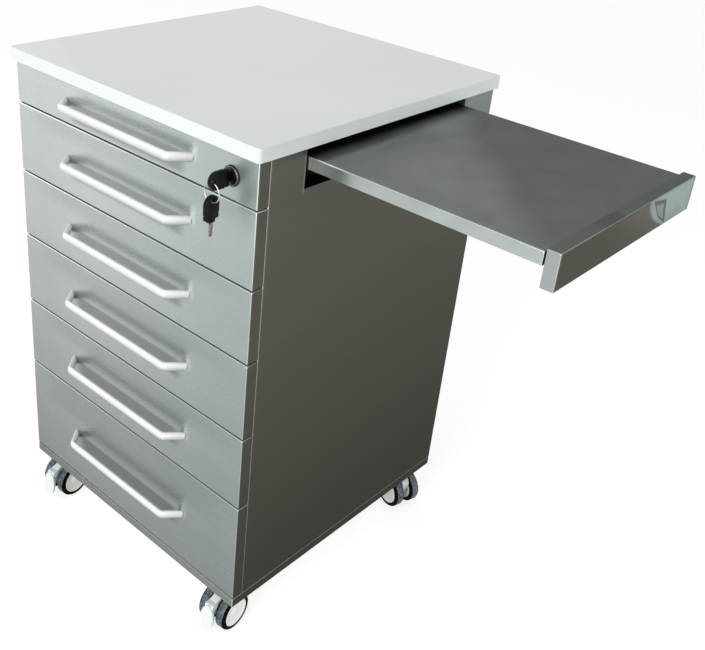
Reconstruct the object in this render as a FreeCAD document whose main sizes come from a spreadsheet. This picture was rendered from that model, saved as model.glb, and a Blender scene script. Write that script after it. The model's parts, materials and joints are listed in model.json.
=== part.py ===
"""Mobile clinic cabinet: six drawers, a white worktop and a pull-out tray at the right, on four castors.

Row frame: X to the right, Y to the back, Z up, in millimetres. The origin is on the floor, under the
middle of the body. At rest the drawers are shut, the tray is pulled out and the key is in the lock.
"""
import FreeCAD
import Part
import Sketcher

import math
import os
import re

# --------------------------------------------------------------------------------------------------
# Driving dimensions
# --------------------------------------------------------------------------------------------------
SIZES = {
    # body of folded sheet
    "body_width": 490, "body_depth": 490, "wall": 1.2, "bend": 2, "stile": 25, "base_height": 16,
    "castor_height": 72,
    # worktop slab
    "top_thickness": 18, "top_overhang_side": 5, "top_overhang_front": 7, "top_overhang_back": 7,
    "top_corner": 7, "top_edge_round": 1.5,
    # frame under the worktop
    "frame_border": 45, "strike_height": 20,
    # drawer fronts: pitch from seam to seam
    "front_pitch_top": 63, "front_pitch_small": 107, "front_pitch_medium": 118, "front_pitch_deep": 171,
    "front_gap": 2, "front_return": 18.3, "front_seam": 0.7, "liner_gap": 0.3,
    # drawer boxes
    "box_depth": 440, "box_lift": 10, "box_headroom": 18, "top_box_lift": 2, "top_box_drop": 39,
    "drawer_travel": 420, "top_drawer_travel": 320,
    # telescopic slides
    "slide_length": 450, "slide_height": 45, "slide_thickness": 13, "slide_lift": 30, "slide_sheet": 1.2,
    "slide_play": 0.5, "slide_inset": 0.5, "top_slide_height": 17, "ball_space": 2.5, "stile_play": 0.5,
    # posts that carry the slides
    "post_width": 40, "post_inset": 8,
    # bow handles
    "handle_centres": 256, "handle_run": 19, "handle_reach": 22, "handle_height": 13, "handle_depth": 9,
    "handle_bend": 9,
    # slot in the right side and the tray in it
    "slot_inset": 80, "slot_length": 336, "slot_height": 54.5, "slot_lip": 11, "slot_bend": 0.24,
    "tray_travel": 337, "tray_length": 438, "tray_drop": 12.4, "tray_height": 16.3, "tray_side_gap": 2.5,
    "tray_front_thickness": 16, "tray_front_height": 45, "tray_front_drop": 8, "tray_front_gap": 1.5,
    "tray_spacer": 2.4, "tray_lip": 15, "rail_height": 13, "rail_depth": 10, "rail_play": 0.5,
    "rail_end_gap": 2, "bracket_width": 29, "bracket_leg": 30,
    # castors
    "castor_inset": 43, "castor_trail": 18, "wheel_radius": 30, "wheel_width": 18, "wheel_gap": 15,
    "tyre_depth": 6.5, "tyre_round": 3, "hub_inset": 1, "hub_lip": 2, "dish_depth": 4, "boss_inset": 3,
    "boss_wall": 2, "boss_foot": 9, "boss_radius": 7.2, "axle_radius": 3, "pivot_radius": 4.5,
    "pivot_length": 18, "bore_play": 0.06, "race_radius": 13, "race_height": 4, "plate_margin": 13,
    "plate_thickness": 2.5, "plate_corner": 5, "plate_hole_spacing": 33, "hood_play": 0.8, "hood_inset": 2,
    "hood_round": 3, "arm_reach": 9, "plain_nose": 21, "nose_half": 4,
    "front_swivel": 5, "rear_right_swivel": 75, "rear_left_swivel": -70,
    # brake pedals
    "pedal_width": 25, "pedal_length": 44, "pedal_thickness": 3, "pedal_rise": 3, "pedal_hinge_inset": 4,
    "pedal_hinge_drop": 22, "pedal_clear": 3.5, "ear_play": 0.3, "ear_depth": 3, "bridge_depth": 2,
    "bridge_drop": 8, "notch_front": 10, "notch_back": 7, "notch_drop": 12,
    # screws
    "screw_radius": 2.1, "screw_head_radius": 4, "screw_head_height": 2.4, "screw_play": 0.15,
    "screw_grip": 9,
    # cam lock and keys
    "lock_inset": 44, "lock_radius": 10, "lock_rim_radius": 13.5, "lock_rim_height": 3, "rim_slope": 1,
    "plug_radius": 6.5, "plug_recess": 0.8, "nut_height": 4, "nut_radius": 14, "cam_length": 26,
    "cam_width": 12, "cam_thickness": 2, "cam_gap": 1.7, "key_thickness": 2, "blade_height": 7,
    "blade_length": 19, "blade_root": 1, "key_play": 0.15, "bow_length": 30, "bow_height": 23,
    "bow_thickness": 6, "bow_round": 10, "collar_length": 4, "collar_height": 10.5, "collar_thickness": 4,
    "bow_hole_radius": 3, "bow_hole_inset": 5.5, "ring_radius": 12, "ring_wire": 1.1, "ring_seat": 0.3,
    # how far a tool that cuts reaches past the piece
    "cut_past": 1,
}

PITCHES = ["front_pitch_top", "front_pitch_small", "front_pitch_small", "front_pitch_medium",
           "front_pitch_medium", "front_pitch_deep"]
DRAWERS = range(1, len(PITCHES) + 1)
FULL_DRAWERS = DRAWERS[1:]

# Lines and faces that more than one piece shares, worked out from the sizes
FITS = {
    "half_width": "body_width / 2",
    "half_depth": "body_depth / 2",
    "base_top": "castor_height + base_height",
    "body_top": "base_top + " + " + ".join(PITCHES),
    "front_back": "front_return - half_depth",
    "carcass_front": "front_back + front_seam",
    "carcass_back": "half_depth - wall",
    "skin_inside": "half_width - wall",
    "clear_of_bend": "half_width - bend",
    "opening_half": "half_width - stile",
    "post_face": "opening_half - stile_play",
    "box_half": "post_face - slide_thickness",
    "frame_top": "body_top - wall",
    "frame_bottom": "frame_top - wall",
    "slot_front": "slot_inset - half_depth",
    "slot_back": "slot_front + slot_length",
    "slot_sill": "body_top - slot_height",
    "tray_out": "half_width + tray_travel",
    "tray_front_inside": "tray_out - tray_front_thickness",
    "tray_end": "tray_front_inside - tray_spacer",
    "tray_start": "tray_end - tray_length",
    "tray_top": "body_top - tray_drop",
    "tray_bottom": "tray_top - tray_height",
    "tray_near": "slot_front + tray_side_gap",
    "tray_far": "slot_back - tray_side_gap",
    "rail_middle": "(tray_top - wall + tray_bottom) / 2",
    "rail_bottom": "rail_middle - rail_height / 2",
    "rail_right": "tray_end - tray_travel - wall - rail_end_gap",
    "rail_back": "tray_near + 2 * wall + rail_play + rail_depth",
    "handle_face": "-half_depth",
    "wheel_spacing": "wheel_width + wheel_gap",
    "hub_radius": "wheel_radius - tyre_depth",
    "plate_bottom": "castor_height - plate_thickness",
    "race_bottom": "plate_bottom - race_height",
    "hood_top": "race_bottom - hood_play",
    "hood_half": "wheel_gap / 2 - hood_play",
    "swivel_x": "half_width - castor_inset",
    "swivel_y": "half_depth - castor_inset",
    "plate_side": "plate_hole_spacing + plate_margin",
    "pedal_hinge_y": "-castor_trail - wheel_radius + pedal_hinge_inset",
    "pedal_hinge_z": "castor_height - pedal_hinge_drop",
    "pedal_face": "-castor_trail - wheel_radius - pedal_clear",
    "bored_sheet": "wall + 2 * cut_past",
    "axle_half": "wheel_spacing / 2 + wheel_width / 2 - boss_inset - boss_wall",
    "lock_x": "half_width - lock_inset",
    "lock_z": "body_top - front_pitch_top / 2",
    "bow_tip": "-half_depth - lock_rim_height - collar_length - bow_length",
    "bow_hole_y": "bow_tip + bow_hole_inset",
    "ring_hang": "sqrt((ring_radius - ring_wire)^2 - (bow_thickness / 2)^2) - ring_seat",
    "ring_z": "lock_z - bow_hole_radius - ring_hang",
    "front_top_1": "body_top",
}
for number in FULL_DRAWERS:
    FITS[f"front_top_{number}"] = f"front_top_{number - 1} - {PITCHES[number - 2]}"

doc = FreeCAD.newDocument("cabinet")
NODES = {}


def formula(text, own_sheet=""):
    """Point each size or fit that is named in the text at its spreadsheet."""
    def point(match):
        word = match.group(0)
        if word in SIZES:
            return "Sizes." + word
        if word in FITS and own_sheet != "Fits":
            return "Fits." + word
        return word
    return re.sub(r"[A-Za-z_]\w*", point, str(text))


def fill_sheet(name, rows, prefix=""):
    """Make a spreadsheet with one aliased row for each entry."""
    sheet = doc.addObject("Spreadsheet::Sheet", name)
    for row, alias in enumerate(rows, start=1):
        sheet.set(f"A{row}", alias)
        sheet.setAlias(f"B{row}", alias)
    for row, content in enumerate(rows.values(), start=1):
        sheet.set(f"B{row}", prefix + (formula(content, name) if prefix else str(content)))
    doc.recompute()
    return sheet


sizes = fill_sheet("Sizes", SIZES)
fits = fill_sheet("Fits", FITS, prefix="=")


def mm(alias):
    """Read one size or fit as a number."""
    return float((sizes if alias in SIZES else fits).get(alias))


def bind(feature, **properties):
    """Bind properties to formulas; a double underscore stands for a dot."""
    for name, text in properties.items():
        feature.setExpression(name.replace("__", "."), formula(text))


def place(feature, x="0", y="0", z="0", turn=None):
    """Place a feature by formulas, turned about Z by an angle in degrees."""
    if turn is not None:
        feature.Placement.Rotation = FreeCAD.Rotation(FreeCAD.Vector(0, 0, 1), 1)
        bind(feature, Placement__Rotation__Angle=turn)
    bind(feature, Placement__Base__x=x, Placement__Base__y=y, Placement__Base__z=z)


# --------------------------------------------------------------------------------------------------
# Ways of making a piece
# --------------------------------------------------------------------------------------------------
def block(name, x, y, z):
    """A box between two planes on each axis."""
    piece = doc.addObject("Part::Box", name)
    for side, ends in (("Length", x), ("Width", y), ("Height", z)):
        bind(piece, **{side: f"({ends[1]}) - ({ends[0]})"})
    place(piece, x[0], y[0], z[0])
    return piece


TURNS = {"X": FreeCAD.Rotation(FreeCAD.Vector(0, 1, 0), 90),
         "Y": FreeCAD.Rotation(FreeCAD.Vector(1, 0, 0), -90),
         "Z": FreeCAD.Rotation()}


def rod(name, axis, start, length, radius):
    """A cylinder that runs from its start point along an axis."""
    piece = doc.addObject("Part::Cylinder", name)
    piece.Placement.Rotation = TURNS[axis]
    bind(piece, Radius=radius, Height=length)
    place(piece, *start)
    return piece


def cut(name, base, *tools):
    """Take the tools out of the base."""
    piece = doc.addObject("Part::Cut", name)
    piece.Base = base
    piece.Tool = tools[0] if len(tools) == 1 else fuse(name + "_tools", *tools)
    return piece


def fuse(name, *pieces):
    """Weld pieces into one solid."""
    piece = doc.addObject("Part::MultiFuse", name)
    piece.Shapes = list(pieces)
    return piece


def group(name, *pieces):
    """Keep pieces side by side as separate solids."""
    piece = doc.addObject("Part::Compound", name)
    piece.Links = list(pieces)
    return piece


def mirrored(name, piece):
    """The same piece on the other side of the middle plane."""
    copy = doc.addObject("Part::Mirroring", name)
    copy.Source = piece
    copy.Normal = FreeCAD.Vector(1, 0, 0)
    return copy


def node(name, feature):
    """Name a feature as one exported piece."""
    feature.Label = name
    NODES[name] = feature
    return feature


def sketch_on(body, name, plane, offset="0"):
    """A sketch on one of the body's own planes, moved along the plane's normal."""
    sketch = body.newObject("Sketcher::SketchObject", name)
    plane_of_body = next(f for f in body.Origin.OriginFeatures if f.Role == plane + "_Plane")
    sketch.AttachmentSupport = (plane_of_body, [""])
    sketch.MapMode = "FlatFace"
    bind(sketch, AttachmentOffset__Base__z=offset)
    return sketch


def outline(sketch, points):
    """A closed outline whose corners are bound to formulas."""
    count = len(points)
    angles = [2 * math.pi * index / count for index in range(count)]
    ring = [FreeCAD.Vector(math.cos(angle), math.sin(angle)) for angle in angles]
    for index in range(count):
        sketch.addGeometry(Part.LineSegment(ring[index], ring[(index + 1) % count]))
    for index, corner in enumerate(points):
        sketch.addConstraint(Sketcher.Constraint("Coincident", index, 2, (index + 1) % count, 1))
        for kind, text in zip(("DistanceX", "DistanceY"), corner):
            constraint = sketch.addConstraint(Sketcher.Constraint(kind, -1, 1, index, 1, 1.0))
            sketch.setExpression(f"Constraints[{constraint}]", formula(text))


def rectangle(across, up):
    """The corners of a rectangle between two formulas each way."""
    return [(across[0], up[0]), (across[1], up[0]), (across[1], up[1]), (across[0], up[1])]


def prism(name, plane, points, span):
    """A body padded from an outline, between two places on the plane's normal."""
    body = doc.addObject("PartDesign::Body", name)
    # the XZ plane's normal points along -Y, so its sketch stands at the far end
    offset = f"-({span[1]})" if plane == "XZ" else span[0]
    sketch = sketch_on(body, name + "_outline", plane, offset)
    outline(sketch, points)
    pad = body.newObject("PartDesign::Pad", name + "_pad")
    pad.Profile = sketch
    bind(pad, Length=f"({span[1]}) - ({span[0]})")
    doc.recompute()
    return body


def turned(name, points, plane="XZ", axis="H_Axis"):
    """A body turned from an outline about an axis of its sketch."""
    body = doc.addObject("PartDesign::Body", name)
    sketch = sketch_on(body, name + "_outline", plane)
    outline(sketch, points)
    lathe = body.newObject("PartDesign::Revolution", name + "_turn")
    lathe.Profile = sketch
    lathe.ReferenceAxis = (sketch, [axis])
    lathe.Angle = 360
    doc.recompute()
    return body


def rounded(body, radius, wanted):
    """Round the edges of the body's last feature that pass a test."""
    base = body.Tip
    names = [f"Edge{i}" for i, edge in enumerate(base.Shape.Edges, start=1) if wanted(edge)]
    fillet = body.newObject("PartDesign::Fillet", body.Name + "_round")
    fillet.Base = (base, names)
    bind(fillet, Radius=radius)
    doc.recompute()
    return body


def near(a, b):
    return abs(a - b) < 1e-4


def face_place(box, axis, side):
    """Where a bounding box ends on one side of an axis."""
    return getattr(box, axis + side)


def lies_at(item, axis, value):
    """Whether an edge or face lies in a plane across the axis."""
    return all(near(face_place(item.BoundBox, axis, side), value) for side in ("Min", "Max"))


def runs_along(edge, axis):
    """Whether a straight edge runs along the axis."""
    return near(getattr(edge.BoundBox, axis + "Length"), edge.Length)


def folded_pan(name, x, y, z, axis, side, bend="bend"):
    """Sheet folded up round all edges of a face, open on one side, with real bends."""
    spans = {"X": x, "Y": y, "Z": z}
    plane, across, up = {"X": ("YZ", y, z), "Y": ("XZ", x, z), "Z": ("XY", x, y)}[axis]
    body = prism(name + "_block", plane, rectangle(across, up), spans[axis])
    mouth = face_place(body.Shape.BoundBox, axis, side)
    rounded(body, bend, lambda edge: not lies_at(edge, axis, mouth))
    open_face = next(f"Face{i}" for i, face in enumerate(body.Shape.Faces, start=1)
                     if lies_at(face, axis, mouth))
    pan = doc.addObject("Part::Thickness", name)
    pan.Faces = (body, [open_face])
    pan.Join = 2
    bind(pan, Value="-wall")
    return pan


def screw(name, x, y, z):
    """A pan-head screw whose head hangs under z and whose shank goes up."""
    head = rod(name + "_head", "Z", (x, y, f"{z} - screw_head_height"), "screw_head_height",
               "screw_head_radius")
    shank = rod(name + "_shank", "Z", (x, y, z), "screw_grip", "screw_radius")
    return fuse(name, head, shank)


def screw_hole(name, x, y, z, depth):
    """The hole for a screw's shank, from z upwards."""
    return rod(name, "Z", (x, y, z), depth, "screw_radius + screw_play")


# --------------------------------------------------------------------------------------------------
# Carcass
# --------------------------------------------------------------------------------------------------
TOP_SCREWS = [(f"{side} * (half_width - frame_border / 2 - stile / 2)",
               f"{end} * (half_depth - frame_border)") for side in ("-1", "1") for end in ("-1", "1")]


def worktop():
    """White slab with rounded corners and eased edges, drilled blind for its screws."""
    slab = prism("slab", "XY", rectangle(
        ("-half_width - top_overhang_side", "half_width + top_overhang_side"),
        ("-half_depth - top_overhang_front", "half_depth + top_overhang_back")),
        ("body_top", "body_top + top_thickness"))
    rounded(slab, "top_corner", lambda edge: runs_along(edge, "Z"))
    rounded(slab, "top_edge_round", lambda edge: not runs_along(edge, "Z"))
    holes = [screw_hole(f"top_hole_{i}", x, y, "body_top - cut_past", "screw_grip")
             for i, (x, y) in enumerate(TOP_SCREWS)]
    node("worktop", cut("worktop", slab, *holes))


def side_panels():
    """Folded side pans with inward flanges; the right one has the tray's slot with folded lips."""
    x = ("opening_half", "half_width")
    y, z = ("carcass_front", "half_depth"), ("base_top", "body_top")
    left = folded_pan("left_pan", ("-half_width", "-opening_half"), y, z, "X", "Max")
    node("side_panel_left", group("side_left", left))
    pan = folded_pan("right_pan", x, y, z, "X", "Min")
    slot = block("slot_cut", ("opening_half - cut_past", "half_width + cut_past"),
                 ("slot_front", "slot_back"), ("slot_sill", "body_top + cut_past"))
    lips = folded_pan("slot_lips", ("half_width - slot_lip", "half_width"),
                      ("slot_front - wall", "slot_back + wall"), ("slot_sill - wall", "body_top"),
                      "Z", "Max", "wall + slot_bend")
    lips = cut("slot_lip_frame", lips, slot)
    panel = fuse("side_right", cut("right_pan_cut", pan, slot), lips)
    node("side_panel_right", panel)


def back_and_base():
    """Back sheet behind the side pans' flanges, and the folded pan that the body stands on."""
    back = block("back_sheet", ("-clear_of_bend", "clear_of_bend"),
                 ("carcass_back - wall", "carcass_back"), ("base_top + bend", "frame_bottom"))
    node("back_panel", back)
    pan = folded_pan("base_fold", ("-half_width", "half_width"), ("-half_depth", "half_depth"),
                     ("castor_height", "base_top"), "Z", "Max")
    holes = [screw_hole(f"base_hole_{i}", x, y, "castor_height - cut_past", "bored_sheet")
             for i, (x, y) in enumerate(plate_screws())]
    node("base_pan", cut("base_pan", pan, *holes))


def top_frame():
    """Sheet frame that carries the worktop; its front lip is what the lock's cam catches."""
    through = ("frame_bottom - cut_past", "frame_top + cut_past")
    sheet = block("frame_sheet", ("-clear_of_bend", "clear_of_bend"),
                  ("carcass_front + bend", "half_depth - bend"), ("frame_bottom", "frame_top"))
    window = block("frame_window", ("-half_width + frame_border", "half_width - frame_border"),
                   ("-half_depth + front_return + frame_border", "half_depth - frame_border"), through)
    slot = block("frame_slot", ("half_width - slot_lip - liner_gap", "half_width"),
                 ("slot_front - wall - liner_gap", "slot_back + wall + liner_gap"), through)
    fold = block("frame_fold", ("-post_face", "post_face"), ("carcass_front", "carcass_front + bend"),
                 ("frame_bottom", "frame_top"))
    lip = block("frame_lip", ("-post_face", "post_face"), ("carcass_front", "carcass_front + wall"),
                ("body_top - strike_height", "frame_top"))
    holes = [screw_hole(f"frame_hole_{i}", x, y, "frame_bottom - cut_past", "bored_sheet")
             for i, (x, y) in enumerate(TOP_SCREWS)]
    whole = fuse("frame_body", sheet, fold, lip)
    node("top_frame", cut("top_frame", whole, window, slot, *holes))


def slide_posts():
    """Four upright channels, open towards the skin, that the slides are screwed to."""
    posts = []
    starts = {"front": "carcass_front + post_inset", "back": "carcass_back - wall - post_inset - post_width"}
    for place_name, low in starts.items():
        high = f"{low} + post_width"
        channel = [("skin_inside", low), ("post_face", low), ("post_face", high), ("skin_inside", high),
                   ("skin_inside", f"{high} - wall"), ("post_face + wall", f"{high} - wall"),
                   ("post_face + wall", f"{low} + wall"), ("skin_inside", f"{low} + wall")]
        post = prism(f"post_{place_name}", "XY", channel, ("base_top + bend", "frame_bottom"))
        posts += [post, mirrored(f"post_{place_name}_left", post)]
    node("slide_posts", group("posts", *posts))


def carcass_screws():
    """Screws that hold the worktop and the castor plates."""
    screws = [screw(f"top_screw_{i}", x, y, "frame_bottom") for i, (x, y) in enumerate(TOP_SCREWS)]
    screws += [screw(f"plate_screw_{i}", x, y, "plate_bottom")
               for i, (x, y) in enumerate(plate_screws())]
    node("carcass_screws", group("screws", *screws))


# --------------------------------------------------------------------------------------------------
# Telescopic slides
# --------------------------------------------------------------------------------------------------
def channel_profile(back, mouth, half_height, lip="0"):
    """A channel's section from its web at `back` to its mouth, with lips that trap the next member."""
    inward = f"{mouth} + slide_sheet" if back_is_outside(back, mouth) else f"{mouth} - slide_sheet"
    inside = f"{back} - slide_sheet" if back_is_outside(back, mouth) else f"{back} + slide_sheet"
    under = f"{half_height} - slide_sheet"
    upper = [(back, half_height), (mouth, half_height)]
    if lip == "0":
        upper += [(mouth, under)]
    else:
        upper += [(mouth, f"{under} - ({lip})"), (inward, f"{under} - ({lip})"), (inward, under)]
    upper += [(inside, under)]
    lower = [(across, f"-({up})") for across, up in reversed(upper)]
    return upper + lower


def back_is_outside(back, mouth):
    """Whether a right-hand channel opens towards the middle of the cabinet."""
    return back == "post_face"


def slide_masters():
    """One right-hand section for each member, at slide height 0, with its mirror image."""
    span = ("carcass_front + slide_inset", "carcass_front + slide_inset + slide_length")
    # full slides: cabinet member, intermediate member, drawer member, each inside the one before
    outer_lip = "ball_space - slide_play"
    outer_half = "slide_height / 2"
    mid_half = f"({outer_half} - slide_sheet - ball_space)"
    inner_half = f"({mid_half} - slide_sheet - ball_space + slide_play)"
    mid_back = "post_face - 2 * slide_sheet"
    mid_mouth = "box_half + 2 * slide_sheet"
    sections = {
        "cabinet": channel_profile("post_face", "box_half + 3.5 * slide_sheet", outer_half, outer_lip),
        "drawer": channel_profile("box_half", "post_face - 6 * slide_sheet", inner_half),
    }
    # the intermediate member opens towards the drawer, as the cabinet member does
    mid = channel_profile("post_face", mid_mouth, mid_half, "ball_space - 2 * slide_play")
    sections["mid"] = [(across.replace("post_face", f"{mid_back}"), up) for across, up in mid]
    top_outer = "top_slide_height / 2"
    sections["top_cabinet"] = channel_profile("post_face", "box_half + 3.5 * slide_sheet", top_outer,
                                              "slide_sheet")
    sections["top_drawer"] = channel_profile(
        "box_half", "post_face - 3 * slide_sheet", f"({top_outer} - 2 * slide_sheet - slide_play)")
    pairs = {}
    for member, section in sections.items():
        right = prism(f"slide_{member}", "XZ", section, span)
        pairs[member] = (right, mirrored(f"slide_{member}_left", right))
    return pairs


def slide_height_of(number):
    """The middle line of a drawer's slides."""
    if number == 1:
        return f"({box_bottom(1)} + {box_top(1)}) / 2"
    return f"{box_bottom(number)} + slide_lift"


def slides():
    """Members that are fixed to the cabinet; those that move come with their drawers."""
    pairs = slide_masters()
    fixed = []
    for number in DRAWERS:
        pair = pairs["top_cabinet" if number == 1 else "cabinet"]
        member = group(f"cabinet_member_{number}", *pair)
        place(member, z=slide_height_of(number))
        fixed.append(member)
        runner = group(f"runner_{number}", *pairs["top_drawer" if number == 1 else "drawer"])
        place(runner, z=slide_height_of(number))
        node(f"drawer_{number}_runners", runner)
        if number > 1:
            middle = group(f"mid_member_{number}", *pairs["mid"])
            place(middle, z=slide_height_of(number))
            node(f"drawer_{number}_slide_mids", middle)
    node("slide_cabinet_members", group("cabinet_members", *fixed))


# --------------------------------------------------------------------------------------------------
# Drawers
# --------------------------------------------------------------------------------------------------
def front_low(number):
    return f"(front_top_{number} - {PITCHES[number - 1]} + front_gap / 2)"


def front_high(number):
    return f"(front_top_{number} - front_gap / 2)"


def box_bottom(number):
    return f"({front_low(number)} + {'top_box_lift' if number == 1 else 'box_lift'})"


def box_top(number):
    return "(body_top - top_box_drop)" if number == 1 else f"({front_high(number)} - box_headroom)"


def drawer_front(number):
    """Sheet folded back round all four edges; the first one is bored for the lock."""
    pan = folded_pan(f"front_{number}", ("-half_width", "half_width"), ("-half_depth", "front_back"),
                     (front_low(number), front_high(number)), "Y", "Max")
    if number == 1:
        bore = rod("lock_bore", "Y", ("lock_x", "-half_depth - cut_past", "lock_z"), "bored_sheet",
                   "lock_radius + screw_play")
        pan = cut("front_1_bored", pan, bore)
    node(f"drawer_{number}_front", pan)


def drawer_box(number):
    """Folded box welded to the liner sheet that closes the front's hollow."""
    z = (box_bottom(number), box_top(number))
    tub = folded_pan(f"tub_{number}", ("-box_half", "box_half"), ("front_back", "front_back + box_depth"),
                     z, "Z", "Max")
    liner = block(f"liner_{number}", ("-skin_inside + liner_gap", "skin_inside - liner_gap"),
                  ("front_back - wall", "front_back"),
                  (f"{front_low(number)} + wall + liner_gap", f"{front_high(number)} - wall - liner_gap"))
    if number == 1:
        bore = rod("liner_bore", "Y", ("lock_x", "front_back - wall - cut_past", "lock_z"), "bored_sheet",
                   "lock_radius + slide_play")
        liner = cut("liner_1_bored", liner, bore)
    node(f"drawer_{number}_box", fuse(f"box_{number}", tub, liner))


def handle_master():
    """Half of a bow handle, swept from the middle of its bar past the foot, faced off and mirrored."""
    body = doc.addObject("PartDesign::Body", "handle_half")
    spine = sketch_on(body, "handle_spine", "XY")
    reach, run, radius = mm("handle_reach"), mm("handle_run"), mm("handle_bend")
    half, face = mm("handle_centres") / 2, mm("handle_face")
    corner = FreeCAD.Vector(half - run, face - reach, 0)
    foot = FreeCAD.Vector(half, face, 0)
    leg = (foot - corner).normalize()
    lean = math.acos(leg.x)
    setback = radius * math.tan(lean / 2)
    arc_start = corner - FreeCAD.Vector(setback, 0, 0)
    arc_end = corner + leg * setback
    centre = arc_start + FreeCAD.Vector(0, radius, 0)
    beyond = foot + leg * mm("handle_depth")
    spine.addGeometry(Part.LineSegment(FreeCAD.Vector(0, corner.y, 0), arc_start))
    circle = Part.Circle(centre, FreeCAD.Vector(0, 0, 1), radius)
    spine.addGeometry(Part.ArcOfCircle(circle, -math.pi / 2, -math.pi / 2 + lean))
    spine.addGeometry(Part.LineSegment(arc_end, beyond))
    section = sketch_on(body, "handle_section", "YZ")
    middle = FreeCAD.Vector(corner.y, 0, 0)
    section.addGeometry(Part.Ellipse(middle + FreeCAD.Vector(0, mm("handle_height") / 2, 0),
                                     middle + FreeCAD.Vector(mm("handle_depth") / 2, 0, 0), middle))
    bar = body.newObject("PartDesign::AdditivePipe", "handle_bar")
    bar.Profile = section
    bar.Spine = (spine, ["Edge1", "Edge2", "Edge3"])
    doc.recompute()
    panel = block("handle_panel", ("0", "handle_centres"),
                  ("handle_face", "handle_face + handle_centres / 4"), ("-handle_height", "handle_height"))
    half_bar = cut("handle_faced", body, panel)
    return fuse("handle_whole", half_bar, mirrored("handle_mirrored", half_bar))


def handles():
    """The same bow handle in the middle of each front."""
    master = handle_master()
    for number in DRAWERS:
        handle = group(f"handle_{number}", master)
        place(handle, z=f"({front_low(number)} + {front_high(number)}) / 2")
        node(f"drawer_{number}_handle", handle)


# --------------------------------------------------------------------------------------------------
# Pull-out tray
# --------------------------------------------------------------------------------------------------
def tray():
    """Folded pan, its flat front panel on two spacers, its runners, and the rails that the cabinet holds."""
    pan = folded_pan("tray_fold", ("tray_start", "tray_end"), ("tray_near", "tray_far"),
                     ("tray_bottom", "tray_top"), "Z", "Min")
    over_rail = "rail_middle + rail_height / 2 + rail_play"
    ends = {"near": ("tray_near + wall + rail_play", "rail_back + wall"),
            "far": ("slot_front + slot_back - rail_back - wall", "tray_far - wall - rail_play")}
    notches = [block(f"tray_notch_{end}", ("tray_start - cut_past", "tray_start + wall + bend"), y,
                     ("tray_bottom - cut_past", over_rail)) for end, y in ends.items()]
    node("tray_pan", cut("tray_sheet", pan, *notches))

    near_edge, far_edge = "slot_front + tray_front_gap", "slot_back - tray_front_gap"
    low, high = "body_top - tray_front_drop - tray_front_height", "body_top - tray_front_drop"
    front = folded_pan("tray_front_fold", ("tray_front_inside", "tray_out"), (near_edge, far_edge),
                       (low, high), "X", "Min")
    lip = block("tray_front_lip", ("tray_front_inside", "tray_front_inside + wall"),
                (f"{near_edge} + wall", f"{far_edge} - wall"),
                (f"{high} - wall - tray_lip", f"{high} - wall"))
    quarters = {"near": "tray_near + slot_length / 4", "far": "tray_far - slot_length / 4"}
    spacers = [rod(f"tray_spacer_{end}", "X", ("tray_end", y, "rail_middle"), "tray_spacer",
                   "rail_height / 3") for end, y in quarters.items()]
    node("tray_front", group("tray_front_parts", fuse("tray_front_panel", front, lip), *spacers))

    rail_inside = "rail_height / 2 - slide_sheet - rail_play"
    runner = [("tray_near + wall", rail_inside), ("rail_back - 2 * slide_sheet", rail_inside),
              ("rail_back - 2 * slide_sheet", f"{rail_inside} - slide_sheet"),
              ("tray_near + wall + slide_sheet", f"{rail_inside} - slide_sheet"),
              ("tray_near + wall + slide_sheet", f"-({rail_inside} - slide_sheet)"),
              ("rail_back - 2 * slide_sheet", f"-({rail_inside} - slide_sheet)"),
              ("rail_back - 2 * slide_sheet", f"-({rail_inside})"),
              ("tray_near + wall", f"-({rail_inside})")]
    mouth = "tray_near + wall + slide_sheet + rail_play"
    half = "rail_height / 2"
    rail = [("rail_back", half), (mouth, half), (mouth, f"{half} - slide_sheet"),
            ("rail_back - slide_sheet", f"{half} - slide_sheet"),
            ("rail_back - slide_sheet", f"-({half} - slide_sheet)"),
            (mouth, f"-({half} - slide_sheet)"), (mouth, f"-({half})"), ("rail_back", f"-({half})")]
    runner_near = prism("tray_runner_near", "YZ", runner, ("tray_start + bend", "tray_end - bend"))
    rail_near = prism("tray_rail_near", "YZ", rail, ("-skin_inside + wall", "rail_right"))
    pieces = {"runner": runner_near, "rail": rail_near}
    pairs = {}
    for kind, piece in pieces.items():
        far = doc.addObject("Part::Mirroring", f"tray_{kind}_far")
        far.Source = piece
        far.Normal = FreeCAD.Vector(0, 1, 0)
        bind(far, Base__y="(slot_front + slot_back) / 2")
        pairs[kind] = group(f"tray_{kind}_pair", piece, far)
        place(pairs[kind], z="rail_middle")
    node("tray_runners", pairs["runner"])

    y = ("rail_back - rail_depth", "slot_front + slot_back - rail_back + rail_depth")
    left = [("-skin_inside", "rail_bottom"), ("-skin_inside", "rail_bottom - bracket_leg"),
            ("-skin_inside + wall", "rail_bottom - bracket_leg"),
            ("-skin_inside + wall", "rail_bottom - wall"),
            ("-skin_inside + bracket_width", "rail_bottom - wall"),
            ("-skin_inside + bracket_width", "rail_bottom")]
    foot = "slot_sill - wall - front_seam"
    right = [("rail_right - bracket_width", "rail_bottom"),
             ("rail_right - bracket_width", "rail_bottom - wall"),
             ("rail_right - wall", "rail_bottom - wall"), ("rail_right - wall", f"{foot} - wall"),
             ("skin_inside - wall", f"{foot} - wall"), ("skin_inside - wall", f"{foot} - bracket_leg"),
             ("skin_inside", f"{foot} - bracket_leg"), ("skin_inside", foot), ("rail_right", foot),
             ("rail_right", "rail_bottom")]
    brackets = [prism("tray_bracket_left", "XZ", left, y), prism("tray_bracket_right", "XZ", right, y)]
    node("tray_rails", group("tray_rail_parts", pairs["rail"], *brackets))


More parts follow.
